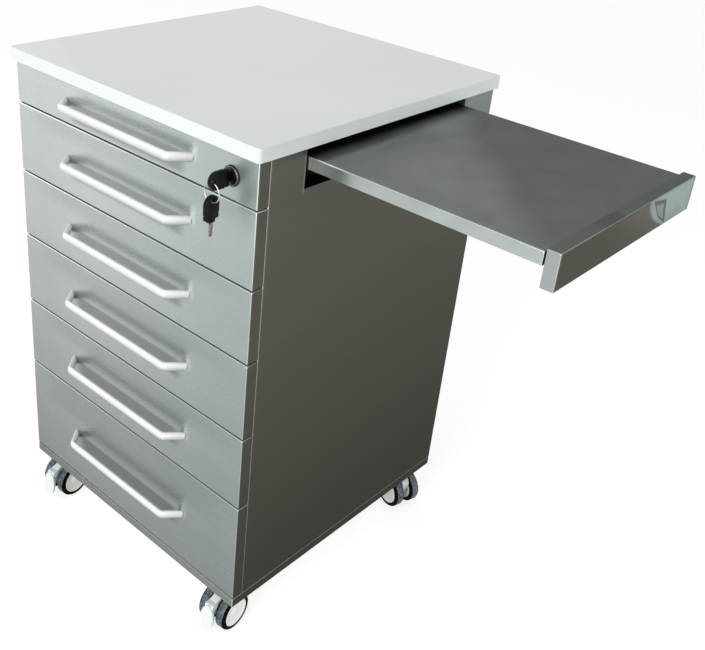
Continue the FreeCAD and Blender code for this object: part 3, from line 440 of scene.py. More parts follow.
# painted highlight on the base pan's bent top edge
pan_edge_highlight = base_steel.along("Z").over(PAN_TOP - 0.0018, PAN_TOP - 0.0012)
base_steel.shade = base_steel.shade * (1.0 + pan_edge_highlight * 0.45)
print("slot from", SLOT_FRONT * 1000, "mm, base pan up to", round(PAN_TOP * 1000), "mm")

# %% [markdown]
# The tray's top mirrors the bright room in a wedge by the worktop, and duller things beyond it; this is
# painted light and shade in its colour. What is still inside the cabinet gets painted shade, for the dark in
# there.

# %% The tray's top
SIDE_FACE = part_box("side_panel_right")[1].x

drift = tray_steel.noise((14, 14, 14), detail=3.0)
outwards = tray_steel.along("X")
on_top = tray_steel.squarely("Z")
wedge_reflection = (outwards + tray_steel.along("Y") + (drift - 0.5) * 0.06).under(0.35, 0.44)
worktop_reflection = outwards.under(0.25, 0.31)
painted_inside_shade = ((1.0 - on_top) * outwards.under(SIDE_FACE - 0.0005, SIDE_FACE + 0.0025)
          + on_top * outwards.under(SIDE_FACE - 0.005, SIDE_FACE + 0.019))
# painted light from the mirrored room, and painted shade inside the cabinet
painted_tray_light = 1.0 + worktop_reflection * 1.1 + on_top * (wedge_reflection * 0.42 - 0.12)
tray_steel.shade = tray_steel.shade * painted_tray_light * (1.0 - painted_inside_shade * 0.88)
print("tray comes out of the side at", round(SIDE_FACE * 1000), "mm")

# %% [markdown]
# The far end of the tray's polished front panel mirrors a pale window with a curved edge, painted into its
# colour as a reflection. In it hangs the dark outline of a kite, which leans, also a painted reflection. Both
# are drawn as distances: the window's edge is a parabola below the panel's top, and the kite is where a sum of
# distances from its middle passes a limit.

# %% The tray's front panel
PANEL_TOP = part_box("tray_front")[1].z
KITE_MIDDLE = (0.0755, 0.7415)
LEAN_COSINE, LEAN_SINE = 0.77, 0.64

across, high = panel_steel.along("Y"), panel_steel.along("Z")
drop = PANEL_TOP - high
torn = panel_steel.noise((3, 22, 34), detail=1.0).over(0.40, 0.60)
# painted reflection of a pale window and of a leaning kite
window = ((across - drop * drop * 28.0).over(0.036, 0.046)
          * (1.0 - across.over(0.1640, 0.1665) * drop.over(0.010, 0.014)))
from_middle, above_middle = across - KITE_MIDDLE[0], high - KITE_MIDDLE[1]
aslant = from_middle * LEAN_COSINE - above_middle * LEAN_SINE
upright = from_middle * LEAN_SINE + above_middle * LEAN_COSINE
kite = abs(aslant * 32.8) + (upright * 55.0).or_more(upright * -180.0)
kite_rim = kite.between((0.55, 0.75), (0.95, 1.1))
kite_inside = kite.under(0.55, 0.75)
outer = panel_steel.squarely("X")
painted_paleness = outer * window * (0.80 + torn * 0.20) * (1.0 - kite_inside * 0.35)
with_painted_window = panel_steel.mixed(painted_paleness, panel_steel.tone, srgb(136, 149, 149))
panel_steel.tone = panel_steel.mixed(outer * kite_rim * 0.85, with_painted_window, srgb(62, 72, 68))

# painted shade: a dark patch on the panel's top
painted_dark_patch = across.between((-0.072, -0.066), (-0.022, -0.016)) * panel_steel.squarely("Z")
panel_steel.shade = panel_steel.shade * (1.0 - painted_dark_patch * 0.2)
print("window below", round(PANEL_TOP * 1000), "mm")

# %% Join tone and shade
for sheet in sheets:
    sheet.set(Base_Color=sheet.shaded(sheet.tone, sheet.shade))
print("sheets joined")

# %% [markdown]
# ## Finishes for the solids that stay
# Slides, plates and screws are zinc plated, a soft grey with cloudy patches. The tray's rails are coated
# black, with the faint peel of a sprayed coat. Solids that are already the right shape keep their mesh and
# only get a finish.

# %% Zinc and black coat
zinc = Finish("zinc_plate", srgb(176, 178, 174), metallic=0.9, roughness=0.32)
patch = zinc.noise((60, 60, 60), detail=3.0)
zinc.set(Base_Color=zinc.mixed(patch, srgb(160, 162, 158), srgb(190, 192, 188)), Roughness=0.24 + patch * 0.2)

black_coat = Finish("black_coat", srgb(5, 6, 6), roughness=0.5, Specular_IOR_Level=0.15)
peel = black_coat.noise((900, 900, 900), detail=1.0)
black_coat.set(Normal=black_coat.bump(peel, 0.00004, 0.4), Roughness=0.42 + peel * 0.16)


# %% Dress the solids that stay
def dress(finish, *names):
    """Give solids one finish."""
    for name in names:
        mesh = nodes[name].data
        mesh.materials.clear()
        mesh.materials.append(finish.material)


dress(side_steel, "side_panel_left", "side_panel_right", "back_panel")
dress(base_steel, "base_pan")
dress(inner_steel, "top_frame", "slide_posts", *[f"drawer_{number}_box" for number in DRAWERS])
for number, steel in zip(DRAWERS, front_steels):
    dress(steel, f"drawer_{number}_front")
dress(tray_steel, "tray_pan")
dress(panel_steel, "tray_front")
dress(zinc, "slide_cabinet_members", "castor_plates", "carcass_screws", "tray_runners", "lock_cam",
      *[f"drawer_{number}_runners" for number in DRAWERS],
      *[f"drawer_{number}_slide_mids" for number in DRAWERS[1:]])
dress(black_coat, "tray_rails")
print("dressed the sheets, slides and screws")


# %% [markdown]
# ## Small helpers for pieces
# A turned piece is an outline spun about an axis. A flat piece is an outline given a thickness. Both end as a
# mesh whose object sits at the origin, with smooth shading that breaks at sharp edges.

# %% From shape to piece
def piece(name, mesh, finish, body, *replaced):
    """Link a mesh as a piece that rides on a body, in place of the solids that it stands for."""
    mesh.materials.clear()
    mesh.materials.append(finish.material)
    made = bpy.data.objects.new(name, mesh)
    scene.collection.objects.link(made)
    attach(made, body)
    if replaced:
        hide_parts(*replaced)
    return made


def mesh_of(name, shape, sharp, place):
    """Close a bmesh: merge doubles, turn faces outwards, place it, and shade smooth between sharp edges."""
    bmesh.ops.remove_doubles(shape, verts=shape.verts, dist=1e-6)
    bmesh.ops.recalc_face_normals(shape, faces=shape.faces)
    if place is not None:
        bmesh.ops.transform(shape, matrix=place, verts=shape.verts)
    limit = math.radians(sharp)
    for edge in shape.edges:
        edge.smooth = len(edge.link_faces) == 2 and edge.calc_face_angle() < limit
    for face in shape.faces:
        face.smooth = True
    mesh = bpy.data.meshes.new(name)
    shape.to_mesh(mesh)
    shape.free()
    return mesh


def shaped(name, shape, finish, body, *replaced, sharp=35.0, place=None):
    """A piece from a bmesh, moved to its place; edges sharper than the angle in degrees stay hard."""
    return piece(name, mesh_of(name, shape, sharp, place), finish, body, *replaced)


# %% [markdown]
# The turned shape is built ring by ring. Its outline may be open, when it starts and ends on the axis, or
# closed, for a tyre or a ring.

# %% Turned shapes
def circle_points(radius, count, middle=0.0):
    """Points round a circle whose middle lies on the first axis."""
    turns = [2 * math.pi * step / count for step in range(count)]
    return [(middle + radius * math.cos(turn), radius * math.sin(turn)) for turn in turns]


def turned(outline, steps=96, closed=False):
    """Spin an outline of (radius, height) about Z."""
    shape = bmesh.new()
    rings = []
    for step in range(steps):
        angle = 2 * math.pi * step / steps
        rings.append([shape.verts.new((radius * math.cos(angle), radius * math.sin(angle), height))
                      for radius, height in outline])
    spans = len(outline) if closed else len(outline) - 1
    for step in range(steps):
        ring, after = rings[step], rings[(step + 1) % steps]
        for index in range(spans):
            above = (index + 1) % len(outline)
            shape.faces.new([ring[index], after[index], after[above], ring[above]])
    bmesh.ops.remove_doubles(shape, verts=shape.verts, dist=1e-7)
    bmesh.ops.dissolve_degenerate(shape, dist=1e-7, edges=shape.edges)
    return shape


# %% [markdown]
# Moulded and sawn parts have corners with a radius. The arc of a corner touches both of its sides, so its
# middle lies on the line that halves the corner.

# %% Flat shapes
def rounded_outline(outline, radius, steps=5):
    """Round each corner of a flat outline with an arc; a number for all corners or a list of them."""
    radii = radius if isinstance(radius, (list, tuple)) else [radius] * len(outline)
    points = []
    for index, corner in enumerate(outline):
        corner = Vector(corner)
        back = Vector(outline[index - 1]) - corner
        ahead = Vector(outline[(index + 1) % len(outline)]) - corner
        half = back.angle(ahead) / 2
        reach = min(radii[index] / math.tan(half), back.length * 0.499, ahead.length * 0.499)
        real = reach * math.tan(half)
        middle = corner + (back.normalized() + ahead.normalized()).normalized() * (real / math.sin(half))
        first = corner + back.normalized() * reach - middle
        last = corner + ahead.normalized() * reach - middle
        turn = first.angle(last)
        side = 1 if first.x * last.y - first.y * last.x > 0 else -1
        for step in range(steps + 1):
            angle = side * turn * step / steps
            cosine, sine = math.cos(angle), math.sin(angle)
            points.append((middle.x + first.x * cosine - first.y * sine,
                           middle.y + first.x * sine + first.y * cosine))
    return points


def ease_rims(shape, rims, edge, steps):
    """Round the edges round a flat shape's two faces."""
    bmesh.ops.bevel(shape, geom=rims, offset=edge, segments=steps, profile=0.5, affect="EDGES")


def is_level(edge):
    """Whether both ends of an edge are at one height."""
    return abs(edge.verts[0].co.z - edge.verts[1].co.z) < 1e-9


def plate(outline, low, high, edge, steps):
    """A flat outline in XY with a thickness and rounded edges."""
    shape = bmesh.new()
    base = [shape.verts.new((x, y, low)) for x, y in outline]
    top = [shape.verts.new((x, y, high)) for x, y in outline]
    shape.faces.new(list(reversed(base)))
    shape.faces.new(top)
    for index in range(len(outline)):
        after = (index + 1) % len(outline)
        shape.faces.new([base[index], base[after], top[after], top[index]])
    ease_rims(shape, [rim for rim in shape.edges if is_level(rim)], edge, steps)
    return shape


def holed_plate(outline, hole, half, edge):
    """A flat plate with a hole through it, both with eased rims."""
    shape = bmesh.new()
    loops = []
    for points in (outline, hole):
        ring = [shape.verts.new((x, y, half)) for x, y in points]
        loops += [shape.edges.new((ring[index - 1], ring[index])) for index in range(len(ring))]
    bmesh.ops.triangle_fill(shape, use_beauty=True, use_dissolve=False, edges=loops)
    deepened = bmesh.ops.extrude_face_region(shape, geom=list(shape.faces))
    lower = [made for made in deepened["geom"] if isinstance(made, bmesh.types.BMVert)]
    bmesh.ops.translate(shape, verts=lower, vec=(0, 0, -2 * half))
    bmesh.ops.recalc_face_normals(shape, faces=shape.faces)
    nearly_square = 1.2
    rims = [rim for rim in shape.edges
            if len(rim.link_faces) == 2 and rim.calc_face_angle() > nearly_square and is_level(rim)]
    ease_rims(shape, rims, edge, 3)
    return shape


# %% Shapes together
def joined(*shapes):
    """Several bmeshes as one."""
    whole = bmesh.new()
    for shape in shapes:
        carrier = bpy.data.meshes.new("carrier")
        shape.to_mesh(carrier)
        shape.free()
        whole.from_mesh(carrier)
        bpy.data.meshes.remove(carrier)
    return whole


def moved(shape, matrix):
    """The same bmesh, in another place."""
    bmesh.ops.transform(shape, matrix=matrix, verts=shape.verts)
    return shape


# %% [markdown]
# ## Worktop
# The slab is cast stone, sanded and polished. Its edges are eased by hand, so they catch a soft line of
# light. A plate with rounded corners and a small round along both rims gives that, and a clear coat over a
# white body gives the polish. Real slabs have a very faint cloud in their white. The polish mirrors pale
# windows, and these reflections are painted into its colour: one covers the front left corner, one lightens
# the front right, and the far right is a little duller. The front and back edges get a little painted shade,
# since the front one is in full light, and the side edges get painted shade towards their ends.

# %% Stone
stone = Finish("white_stone", srgb(237, 241, 239), roughness=0.16)
cloud = stone.noise((7, 7, 7), detail=4.0)
across, deep = stone.along("X"), stone.along("Y")
on_face = abs(stone.looking("Z")).over(0.3, 0.9)
# painted reflections of pale windows on the face, and painted shade on the edges
front_left = (deep + across * 0.5).under(-0.305, -0.285)
front_right = across.over(-0.05, 0.15) * deep.under(-0.10, 0.10)
far_right = across.over(-0.15, 0.10) * deep.over(0.05, 0.20)
long_edge_shade = abs(stone.looking("Y")).over(0.4, 0.95)
side_edge_shade = abs(stone.looking("X")).over(0.4, 0.95) * (deep * deep).over(0.006, 0.045)
painted_window_light = on_face * (front_left * 0.06 + front_right * 0.03 - far_right * 0.03)
stone_tone = stone.shaded(stone.mixed(cloud, srgb(229, 236, 234), srgb(236, 243, 240)),
                          1.0 - long_edge_shade * 0.08 - side_edge_shade * 0.15 + painted_window_light)
stone.set(Base_Color=stone_tone, Roughness=0.42 - on_face * 0.28 + cloud * 0.07, Coat_Weight=on_face * 0.35,
          Coat_Roughness=0.05)

# %% Slab
slab_low, slab_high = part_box("worktop")
slab_corners = [(slab_low.x, slab_low.y), (slab_high.x, slab_low.y), (slab_high.x, slab_high.y),
                (slab_low.x, slab_high.y)]
slab_outline = rounded_outline(slab_corners, 0.006, steps=10)
slab_plate = plate(slab_outline, slab_low.z, slab_high.z, edge=0.0028, steps=6)
slab = shaped("worktop_slab", slab_plate, stone, "cabinet", "worktop")
print("slab", len(slab.data.polygons), "faces")

# %% [markdown]
# ## Bow handles
# Each handle is one oval bar, bent twice. A Geometry Nodes tree sweeps an oval along a bent path: the path is
# a curve of four points, Fillet Curve rounds its two bends, and the oval is a circle squeezed flat. One tree
# with named sizes serves all drawers, so a change of size reaches every handle.

# %% Tools for a geometry tree
def tree_with(name, inputs):
    """A geometry tree with one geometry input, named sizes and one geometry output."""
    tree = bpy.data.node_groups.new(name, "GeometryNodeTree")
    tree.interface.new_socket("Geometry", in_out="INPUT", socket_type="NodeSocketGeometry")
    for label, kind in inputs:
        tree.interface.new_socket(label, in_out="INPUT", socket_type=kind)
    tree.interface.new_socket("Geometry", in_out="OUTPUT", socket_type="NodeSocketGeometry")
    start = tree.nodes.new("NodeGroupInput")
    end = tree.nodes.new("NodeGroupOutput")
    return tree, start, end


def add_step(tree, kind, links, settings=None):
    """Add a geometry node: settings first, then the values or links of its inputs."""
    made = tree.nodes.new(kind)
    for name, value in (settings or {}).items():
        setattr(made, name, value)
    for name, value in links.items():
        if isinstance(value, bpy.types.NodeSocket):
            tree.links.new(value, made.inputs[name])
        else:
            made.inputs[name].default_value = value
    return made


def grown(name, base, tree, sizes):
    """Run a tree on a base curve and return the plain mesh that it makes."""
    holder = bpy.data.objects.new(name, base)
    scene.collection.objects.link(holder)
    modifier = holder.modifiers.new(name, "NODES")
    modifier.node_group = tree
    for item in tree.interface.items_tree:
        if item.item_type == "SOCKET" and item.in_out == "INPUT" and item.name in sizes:
            modifier[item.identifier] = sizes[item.name]
    bpy.context.view_layer.update()
    mesh = bpy.data.meshes.new_from_object(holder.evaluated_get(bpy.context.evaluated_depsgraph_get()))
    bpy.data.objects.remove(holder)
    mesh.name = name
    return mesh


# %% Bow handle tree
bow, bow_in, bow_out = tree_with("bow_handle", [
    ("Bend Radius", "NodeSocketFloat"), ("Bar Height", "NodeSocketFloat"), ("Bar Depth", "NodeSocketFloat"),
    ("Finish", "NodeSocketMaterial")])
given = bow_in.outputs
fillet = add_step(bow, "GeometryNodeFilletCurve", {
    "Curve": given["Geometry"], "Radius": given["Bend Radius"], "Count": 12, "Limit Radius": True},
    settings={"mode": "POLY"})
oval_size = add_step(bow, "ShaderNodeCombineXYZ", {
    "X": given["Bar Depth"], "Y": given["Bar Height"], "Z": 1.0})
circle = add_step(bow, "GeometryNodeCurvePrimitiveCircle", {"Resolution": 32, "Radius": 0.5})
oval = add_step(bow, "GeometryNodeTransform", {
    "Geometry": circle.outputs["Curve"], "Scale": oval_size.outputs[0]})
swept = add_step(bow, "GeometryNodeCurveToMesh", {
    "Curve": fillet.outputs["Curve"], "Profile Curve": oval.outputs["Geometry"], "Fill Caps": True})
smooth = add_step(bow, "GeometryNodeSetShadeSmooth", {"Geometry": swept.outputs["Mesh"]})
real = add_step(bow, "GeometryNodeRealizeInstances", {"Geometry": smooth.outputs["Geometry"]})
coated = add_step(bow, "GeometryNodeSetMaterial", {
    "Geometry": real.outputs["Geometry"], "Material": given["Finish"]})
bow.links.new(coated.outputs["Geometry"], bow_out.inputs["Geometry"])
print("handle tree of", len(bow.nodes), "nodes")

# %% [markdown]
# The bars are silver anodised: matt, pale and only a little metallic. They get painted light where they look
# up, painted shade where they look down, and a little painted shade at the back and at the right foot.

# %% Handle coat
handle_coat = Finish("handle_coat", srgb(220, 223, 221), metallic=0.3, roughness=0.38)
frost = handle_coat.noise((700, 700, 700))
# painted light on faces that look up, painted shade on faces that look down and on the back, which faces the
# sheet
painted_top_light, from_front = handle_coat.looking("Z").over(-0.7, 0.5), handle_coat.looking("Y").over(0.0, 0.7)
bar_tone = handle_coat.mixed(painted_top_light, srgb(180, 184, 182), srgb(232, 235, 234))
bar_tone = handle_coat.mixed(from_front, bar_tone, srgb(218, 218, 214))
# painted shade towards the right foot
right_foot_shade = handle_coat.along("X").over(FOOT - 0.016, FOOT + 0.002)
handle_coat.set(Base_Color=handle_coat.shaded(bar_tone, 1.0 - right_foot_shade * 0.15),
                Roughness=0.32 + frost * 0.14, Normal=handle_coat.bump(frost, 0.00003, 0.35))

# %% [markdown]
# A handle's path runs from one foot down its leg, along the bar and back up the other leg. The feet are sunk
# into the sheet by a few millimetres, so no gap shows, and each bar is a mesh of its own that rides on its
# drawer.

# %% Handles on the drawers
BAR_DEPTH, LEG_RUN, BEND, SUNK = 0.009, 0.019, 0.009, 0.003
sheet_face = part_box("drawer_1_front")[0].y

for number in DRAWERS:
    name, solid = f"handle_bar_{number}", f"drawer_{number}_handle"
    low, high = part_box(solid)
    bar_y = low.y + BAR_DEPTH / 2
    leg = Vector((LEG_RUN, sheet_face - bar_y)).normalized()
    foot_x, foot_y = FOOT + leg.x * SUNK, sheet_face + leg.y * SUNK
    path = bpy.data.curves.new("bow_path", "CURVE")
    path.dimensions = "3D"
    line = path.splines.new("POLY")
    line.points.add(3)
    bends = [(-foot_x, foot_y), (-FOOT + LEG_RUN, bar_y), (FOOT - LEG_RUN, bar_y), (foot_x, foot_y)]
    for point, (x, y) in zip(line.points, bends):
        point.co = (x, y, middle_of(solid), 1)
    mesh = grown(name, path, bow, {"Bend Radius": BEND, "Bar Height": high.z - low.z, "Bar Depth": BAR_DEPTH,
                                   "Finish": handle_coat.material})
    bar = piece(name, mesh, handle_coat, f"drawer_{number}", solid)
print("handle", len(bar.data.polygons), "faces, height", round((high.z - low.z) * 1000, 1), "mm")

# %% [markdown]
# ## Castors
# A twin-wheel castor is a moulded hood that carries two wheels on one axle. Each wheel is a nylon disc inside
# a rubber tyre. The discs and tyres are turned pieces, spun from their outlines. The hood is a flat arm
# between the wheels under a round crown. On the front castors an oval pedal hangs on the hood's nose and
# works the brake. Nylon is white with slight flow marks and gets painted shade, greyer, where its faces turn
# away from the front. Rubber is nearly black, and only the tread is grey with dust.

# %% Castor finishes
nylon = Finish("white_nylon", srgb(226, 233, 231), roughness=0.35, Specular_IOR_Level=0.3)
flow = nylon.noise((90, 90, 90), detail=3.0)
# painted shade where faces turn away from the front
aside = (0.0 - nylon.looking("Y")).under(0.10, 0.65)
nylon_tone = nylon.mixed(flow, srgb(228, 236, 234), srgb(236, 243, 241))
nylon.set(Base_Color=nylon.mixed(aside * 0.7, nylon_tone, srgb(186, 194, 192)), Roughness=0.30 + flow * 0.16)

disc_cream = Finish("disc_cream", srgb(240, 239, 232), roughness=0.35)
disc_flow = disc_cream.noise((60, 60, 60), detail=3.0)
disc_cream.set(Base_Color=disc_cream.mixed(disc_flow, srgb(241, 241, 234), srgb(251, 251, 247)),
               Roughness=0.26 + disc_flow * 0.2)

rubber = Finish("black_rubber", srgb(6, 7, 7), roughness=0.5, Specular_IOR_Level=0.02)
dust = rubber.noise((220, 220, 220), detail=4.0)
rubber.set(Base_Color=rubber.mixed(dust, srgb(2, 3, 3), srgb(9, 10, 10)), Roughness=0.42 + dust * 0.25)

tread = Finish("worn_tread", srgb(78, 90, 96), roughness=0.5, Specular_IOR_Level=0.35)
scuff = tread.noise((260, 260, 260), detail=4.0)
tread.set(Base_Color=tread.mixed(scuff.over(0.35, 0.65), srgb(44, 54, 60), srgb(104, 117, 122)),
          Roughness=0.4 + scuff * 0.25, Normal=tread.bump(scuff, 0.0003, 0.5))

# %% Sizes of a castor
WHEEL, TYRE, HALF = 0.030, 0.0074, 0.009
HUB = WHEEL - TYRE
WHEEL_ASIDE, TRAIL, AXLE_HALF, AXLE_RADIUS = 0.0165, 0.018, 0.0205, 0.003
print("wheel", WHEEL * 2 * 1000, "mm across, hub", round(HUB * 2 * 1000, 1), "mm")

# %% [markdown]
# Outlines for the wheels are pairs of radius and place along the axle. The tyre's section is one half, from
# the bead over the shoulder to the tread, and its mirror image. The disc has a flat rim, a fine step, a
# shallow dish and a small boss, and a plainer back.

# %% Wheels
half_tyre = [(HUB, -HALF + 0.0016), (HUB + 0.0006, -HALF + 0.0003), (HUB + 0.0016, -HALF),
             (WHEEL - 0.0026, -HALF + 0.0004), (WHEEL - 0.0011, -HALF + 0.0014),
             (WHEEL - 0.0004, -HALF + 0.0027), (WHEEL, -HALF + 0.0032)]
tyre_section = half_tyre + [(radius, -place) for radius, place in reversed(half_tyre)]
disc_face = [(HUB + 0.0003, HALF - 0.0006), (HUB - 0.0012, HALF - 0.0002), (HUB - 0.0018, HALF - 0.0010),
             (HUB - 0.0024, HALF - 0.0012), (0.018, HALF - 0.0022), (0.010, HALF - 0.0027),
             (0.0072, HALF - 0.0026), (0.0066, HALF - 0.0016), (0.0060, HALF - 0.0013), (0.0, HALF - 0.0012)]
disc_back = [(HUB + 0.0003, -HALF + 0.0008), (HUB - 0.002, -HALF + 0.0012), (0.008, -HALF + 0.004),
             (0.0034, -HALF + 0.004), (0.0034, 0.0)]
axle_section = [(0.0, -AXLE_HALF), (AXLE_RADIUS, -AXLE_HALF), (AXLE_RADIUS, AXLE_HALF), (0.0, AXLE_HALF)]
ALONG_AXLE = Matrix.Rotation(math.radians(90), 4, "Y")


def wheel_shapes(side):
    """Tyre, disc face and disc back of one wheel; its outer face looks along the side."""
    half_turn = Matrix.Rotation(math.pi if side < 0 else 0, 4, "Z")
    spot = Matrix.Translation((side * WHEEL_ASIDE, 0, 0)) @ half_turn @ ALONG_AXLE
    tyre = turned(tyre_section, steps=72, closed=True)
    face, back = turned(disc_face, steps=72), turned(disc_back, steps=72)
    return [moved(shape, spot) for shape in (tyre, face, back)]


# %% [markdown]
# The hood's arm and the pedal's neck are drawn from the side, as places to the back and up, and are then
# turned upright, with their thickness across the castor. The pedal itself is drawn from the front. It leans
# forward a little, about a hinge on the nose.

# %% Hood and pedal
FROM_SIDE = Matrix(((0, 0, 1, 0), (1, 0, 0, 0), (0, 1, 0, 0), (0, 0, 0, 1)))
HINGE = Vector((0, -0.0530, 0.0520))
PEDAL_LEAN = math.radians(-6)


def hood_shape(braked):
    """Crown under the plate, arm down to the axle, and a nose that holds the pedal."""
    nose = -0.0475 if braked else -0.038
    side = [(0.0125, 0.0640), (0.0125, 0.0420), (-0.0060, 0.0205), (-0.0300, 0.0205), (nose, 0.0440),
            (nose, 0.0540), (-0.0200, 0.0645), (-0.0115, 0.0645)]
    side = rounded_outline(side, [0.004, 0.006, 0.010, 0.010, 0.004, 0.004, 0.006, 0.002])
    arm = moved(plate(side, -0.0066, 0.0066, edge=0.0018, steps=3), FROM_SIDE)
    crown = turned([(0.0, 0.0607), (0.0122, 0.0607), (0.0129, 0.0614), (0.0129, 0.0634), (0.0118, 0.0646),
                    (0.0, 0.0646)], steps=48)
    return joined(arm, crown)


def pedal_shape():
    """Oval pedal with soft rims, wider towards the bottom, and a neck that clips over the nose."""
    middle, half_height, half_width, widening = 0.0325, 0.0215, 0.0122, 0.0012
    oval = []
    for degrees in range(0, 360, 6):
        across, up = math.cos(math.radians(degrees)), math.sin(math.radians(degrees))
        oval.append(((half_width - widening * up) * across, middle + half_height * up))
    from_front = Matrix(((1, 0, 0, 0), (0, 0, 1, HINGE.y), (0, 1, 0, 0), (0, 0, 0, 1)))
    face = moved(plate(oval, -0.0017, 0.0017, edge=0.0013, steps=3), from_front)
    lean = Matrix.Translation(HINGE) @ Matrix.Rotation(PEDAL_LEAN, 4, "X") @ Matrix.Translation(-HINGE)
    side = [(-0.0535, 0.0420), (-0.0410, 0.0440), (-0.0400, 0.0560), (-0.0525, 0.0540)]
    neck = moved(plate(rounded_outline(side, 0.0024), -0.0078, 0.0078, edge=0.0010, steps=2), FROM_SIDE)
    return joined(moved(face, lean), neck)


# %% [markdown]
# Each castor stands where its swivel is, and is turned as far as its wheels' axis is. The wheels trail behind
# the swivel. The tread's faces are those on the outside of the tyre and near its middle, and get the dusty
# finish.

# %% Castors in place
def dust_the_tread(mesh, axle_spot):
    """Give the worn finish to the faces on the tread of both tyres."""
    mesh.materials.append(tread.material)
    axle_line = axle_spot.to_3x3() @ Vector((1, 0, 0))
    for face in mesh.polygons:
        from_axle = face.center - axle_spot.translation
        along = from_axle.dot(axle_line)
        outwards = (from_axle - axle_line * along).length
        off_middle = abs(abs(along) - WHEEL_ASIDE)
        face.material_index = 1 if outwards > WHEEL - 0.0012 and off_middle < HALF - 0.0030 else 0


for corner in ("front_left", "front_right", "rear_left", "rear_right"):
    braked = corner.startswith("front")
    across, back, _ = joints[f"castor_{corner}_swivel"]["pos_m"]
    axis = joints[f"wheels_{corner}_roll"]["axis"]
    spot = Matrix.Translation((across, back, 0)) @ Matrix.Rotation(math.atan2(axis[1], axis[0]), 4, "Z")
    axle_spot = spot @ Matrix.Translation((0, -TRAIL, WHEEL))
    shaped(f"hood_{corner}", hood_shape(braked), nylon, f"castor_{corner}", f"castor_{corner}_hood",
           place=spot)
    left, right = wheel_shapes(-1), wheel_shapes(1)
    tyres = shaped(f"tyres_{corner}", joined(left[0], right[0]), rubber, f"wheels_{corner}",
                   f"castor_{corner}_wheels", sharp=50, place=axle_spot)
    dust_the_tread(tyres.data, axle_spot)
    axle = moved(turned(axle_section, steps=24), ALONG_AXLE)
    shaped(f"discs_{corner}", joined(*left[1:], *right[1:], axle), disc_cream, f"wheels_{corner}",
           f"castor_{corner}_wheels", sharp=40, place=axle_spot)
    if braked:
        shaped(f"pedal_{corner}", pedal_shape(), nylon, f"brake_{corner}", f"castor_{corner}_brake",
               place=spot)
    print("castor", corner, "at", round(across, 3), round(back, 3))

# %% [markdown]
# ## Lock and keys
# The cam lock has a round rim pressed over the panel, a plug that turns in it, and a flat key. Key heads are
# moulded in black over a steel blade. They hang on one split ring. The rim and the plug are glossy black, and
# a thin smoked ring of metal lies in the rim. The heads have the fine grain of their mould.

# %% Lock and key finishes
black_gloss = Finish("black_gloss", srgb(14, 15, 16), roughness=0.25, Specular_IOR_Level=0.3)
wipe = black_gloss.noise((120, 120, 120), detail=3.0)
black_gloss.set(Roughness=0.16 + wipe * 0.2, Coat_Weight=0.15, Coat_Roughness=0.1)

smoked = Finish("smoked_ring", srgb(112, 116, 118), metallic=0.9, roughness=0.3)
smoke = smoked.noise((200, 200, 200), detail=3.0)
smoked.set(Base_Color=smoked.mixed(smoke, srgb(90, 94, 96), srgb(130, 134, 136)),
           Roughness=0.2 + smoke * 0.25)

key_black = Finish("key_black", srgb(9, 12, 12), roughness=0.3, Specular_IOR_Level=0.12)
mould_grain = key_black.noise((1500, 1500, 1500), detail=1.0)
key_black.set(Roughness=0.20 + mould_grain * 0.16, Normal=key_black.bump(mould_grain, 0.00003, 0.4))

blade_steel = Finish("blade_steel", srgb(134, 128, 120), metallic=0.95, roughness=0.3)
streak = blade_steel.noise((900, 900, 120), detail=3.0)
blade_steel.set(Base_Color=blade_steel.mixed(streak.over(0.35, 0.65), srgb(92, 84, 76), srgb(176, 172, 166)),
                Roughness=0.22 + streak * 0.2)

nickel = Finish("nickel", srgb(196, 194, 188), metallic=1.0, roughness=0.25)
tarnish = nickel.noise((300, 300, 300), detail=3.0)
nickel.set(Base_Color=nickel.mixed(tarnish, srgb(176, 174, 166), srgb(210, 208, 203)),
           Roughness=0.16 + tarnish * 0.2)

# %% [markdown]
# The lock's round parts are turned about the line on which its plug turns. Outlines are pairs of radius and
# place in front of the sheet, so the body behind the sheet has negative places. A hexagon nut holds it from
# behind.

# %% Lock
PLUG, BARREL, BARREL_END, PLUG_END = 0.0064, 0.010, -0.0183, -0.0212
BORE = PLUG + 0.00016
lock_x, _, lock_z = joints["lock_turn"]["pos_m"]
lock_spot = Vector((lock_x, sheet_face, lock_z))
outward = Matrix.Translation(lock_spot) @ Matrix.Rotation(math.radians(90), 4, "X")

rim = turned([(BORE, 0.0022), (0.0072, 0.0030), (0.0106, 0.0030), (0.0108, 0.0027), (0.0120, 0.0027),
              (0.0130, 0.0022), (0.0135, 0.0012), (0.0135, 0.0), (BARREL, 0.0), (BARREL, BARREL_END),
              (BORE, BARREL_END)], closed=True)
shaped("lock_rim", rim, black_gloss, "drawer_1", "lock_housing", place=outward)
bezel = turned([(0.0112, 0.00265), (0.0113, 0.0030), (0.0117, 0.0031), (0.0121, 0.0029), (0.0122, 0.00262)],
               closed=True)
shaped("lock_bezel", bezel, smoked, "drawer_1", place=outward)
nut = plate(circle_points(0.014, 6), -0.0052, -0.0012, edge=0.0004, steps=2)
shaped("lock_nut", nut, zinc, "drawer_1", "lock_housing", place=outward)
plug = turned([(0.0, 0.0021), (0.0058, 0.0021), (PLUG, 0.0015), (PLUG, PLUG_END), (0.0, PLUG_END)])
plug_face = shaped("lock_plug_face", plug, black_gloss, "lock", "lock_plug", place=outward)
print("lock", len(plug_face.data.polygons), "faces on the plug")

# %% [markdown]
# A key head is a flat moulding with a short neck, square shoulders at the blade, a small nick in each flank,
# an arched end and a hole through the arch. The same shapes serve both keys: one sits in the lock, the spare
# is on the ring.

# %% Key shapes
HEAD_HALF, ARCH_FROM = 0.0115, 0.0185
HEAD_LENGTH = ARCH_FROM + HEAD_HALF
HOLE, HOLE_AT = 0.0030, 0.0245
BLADE_END = -0.023


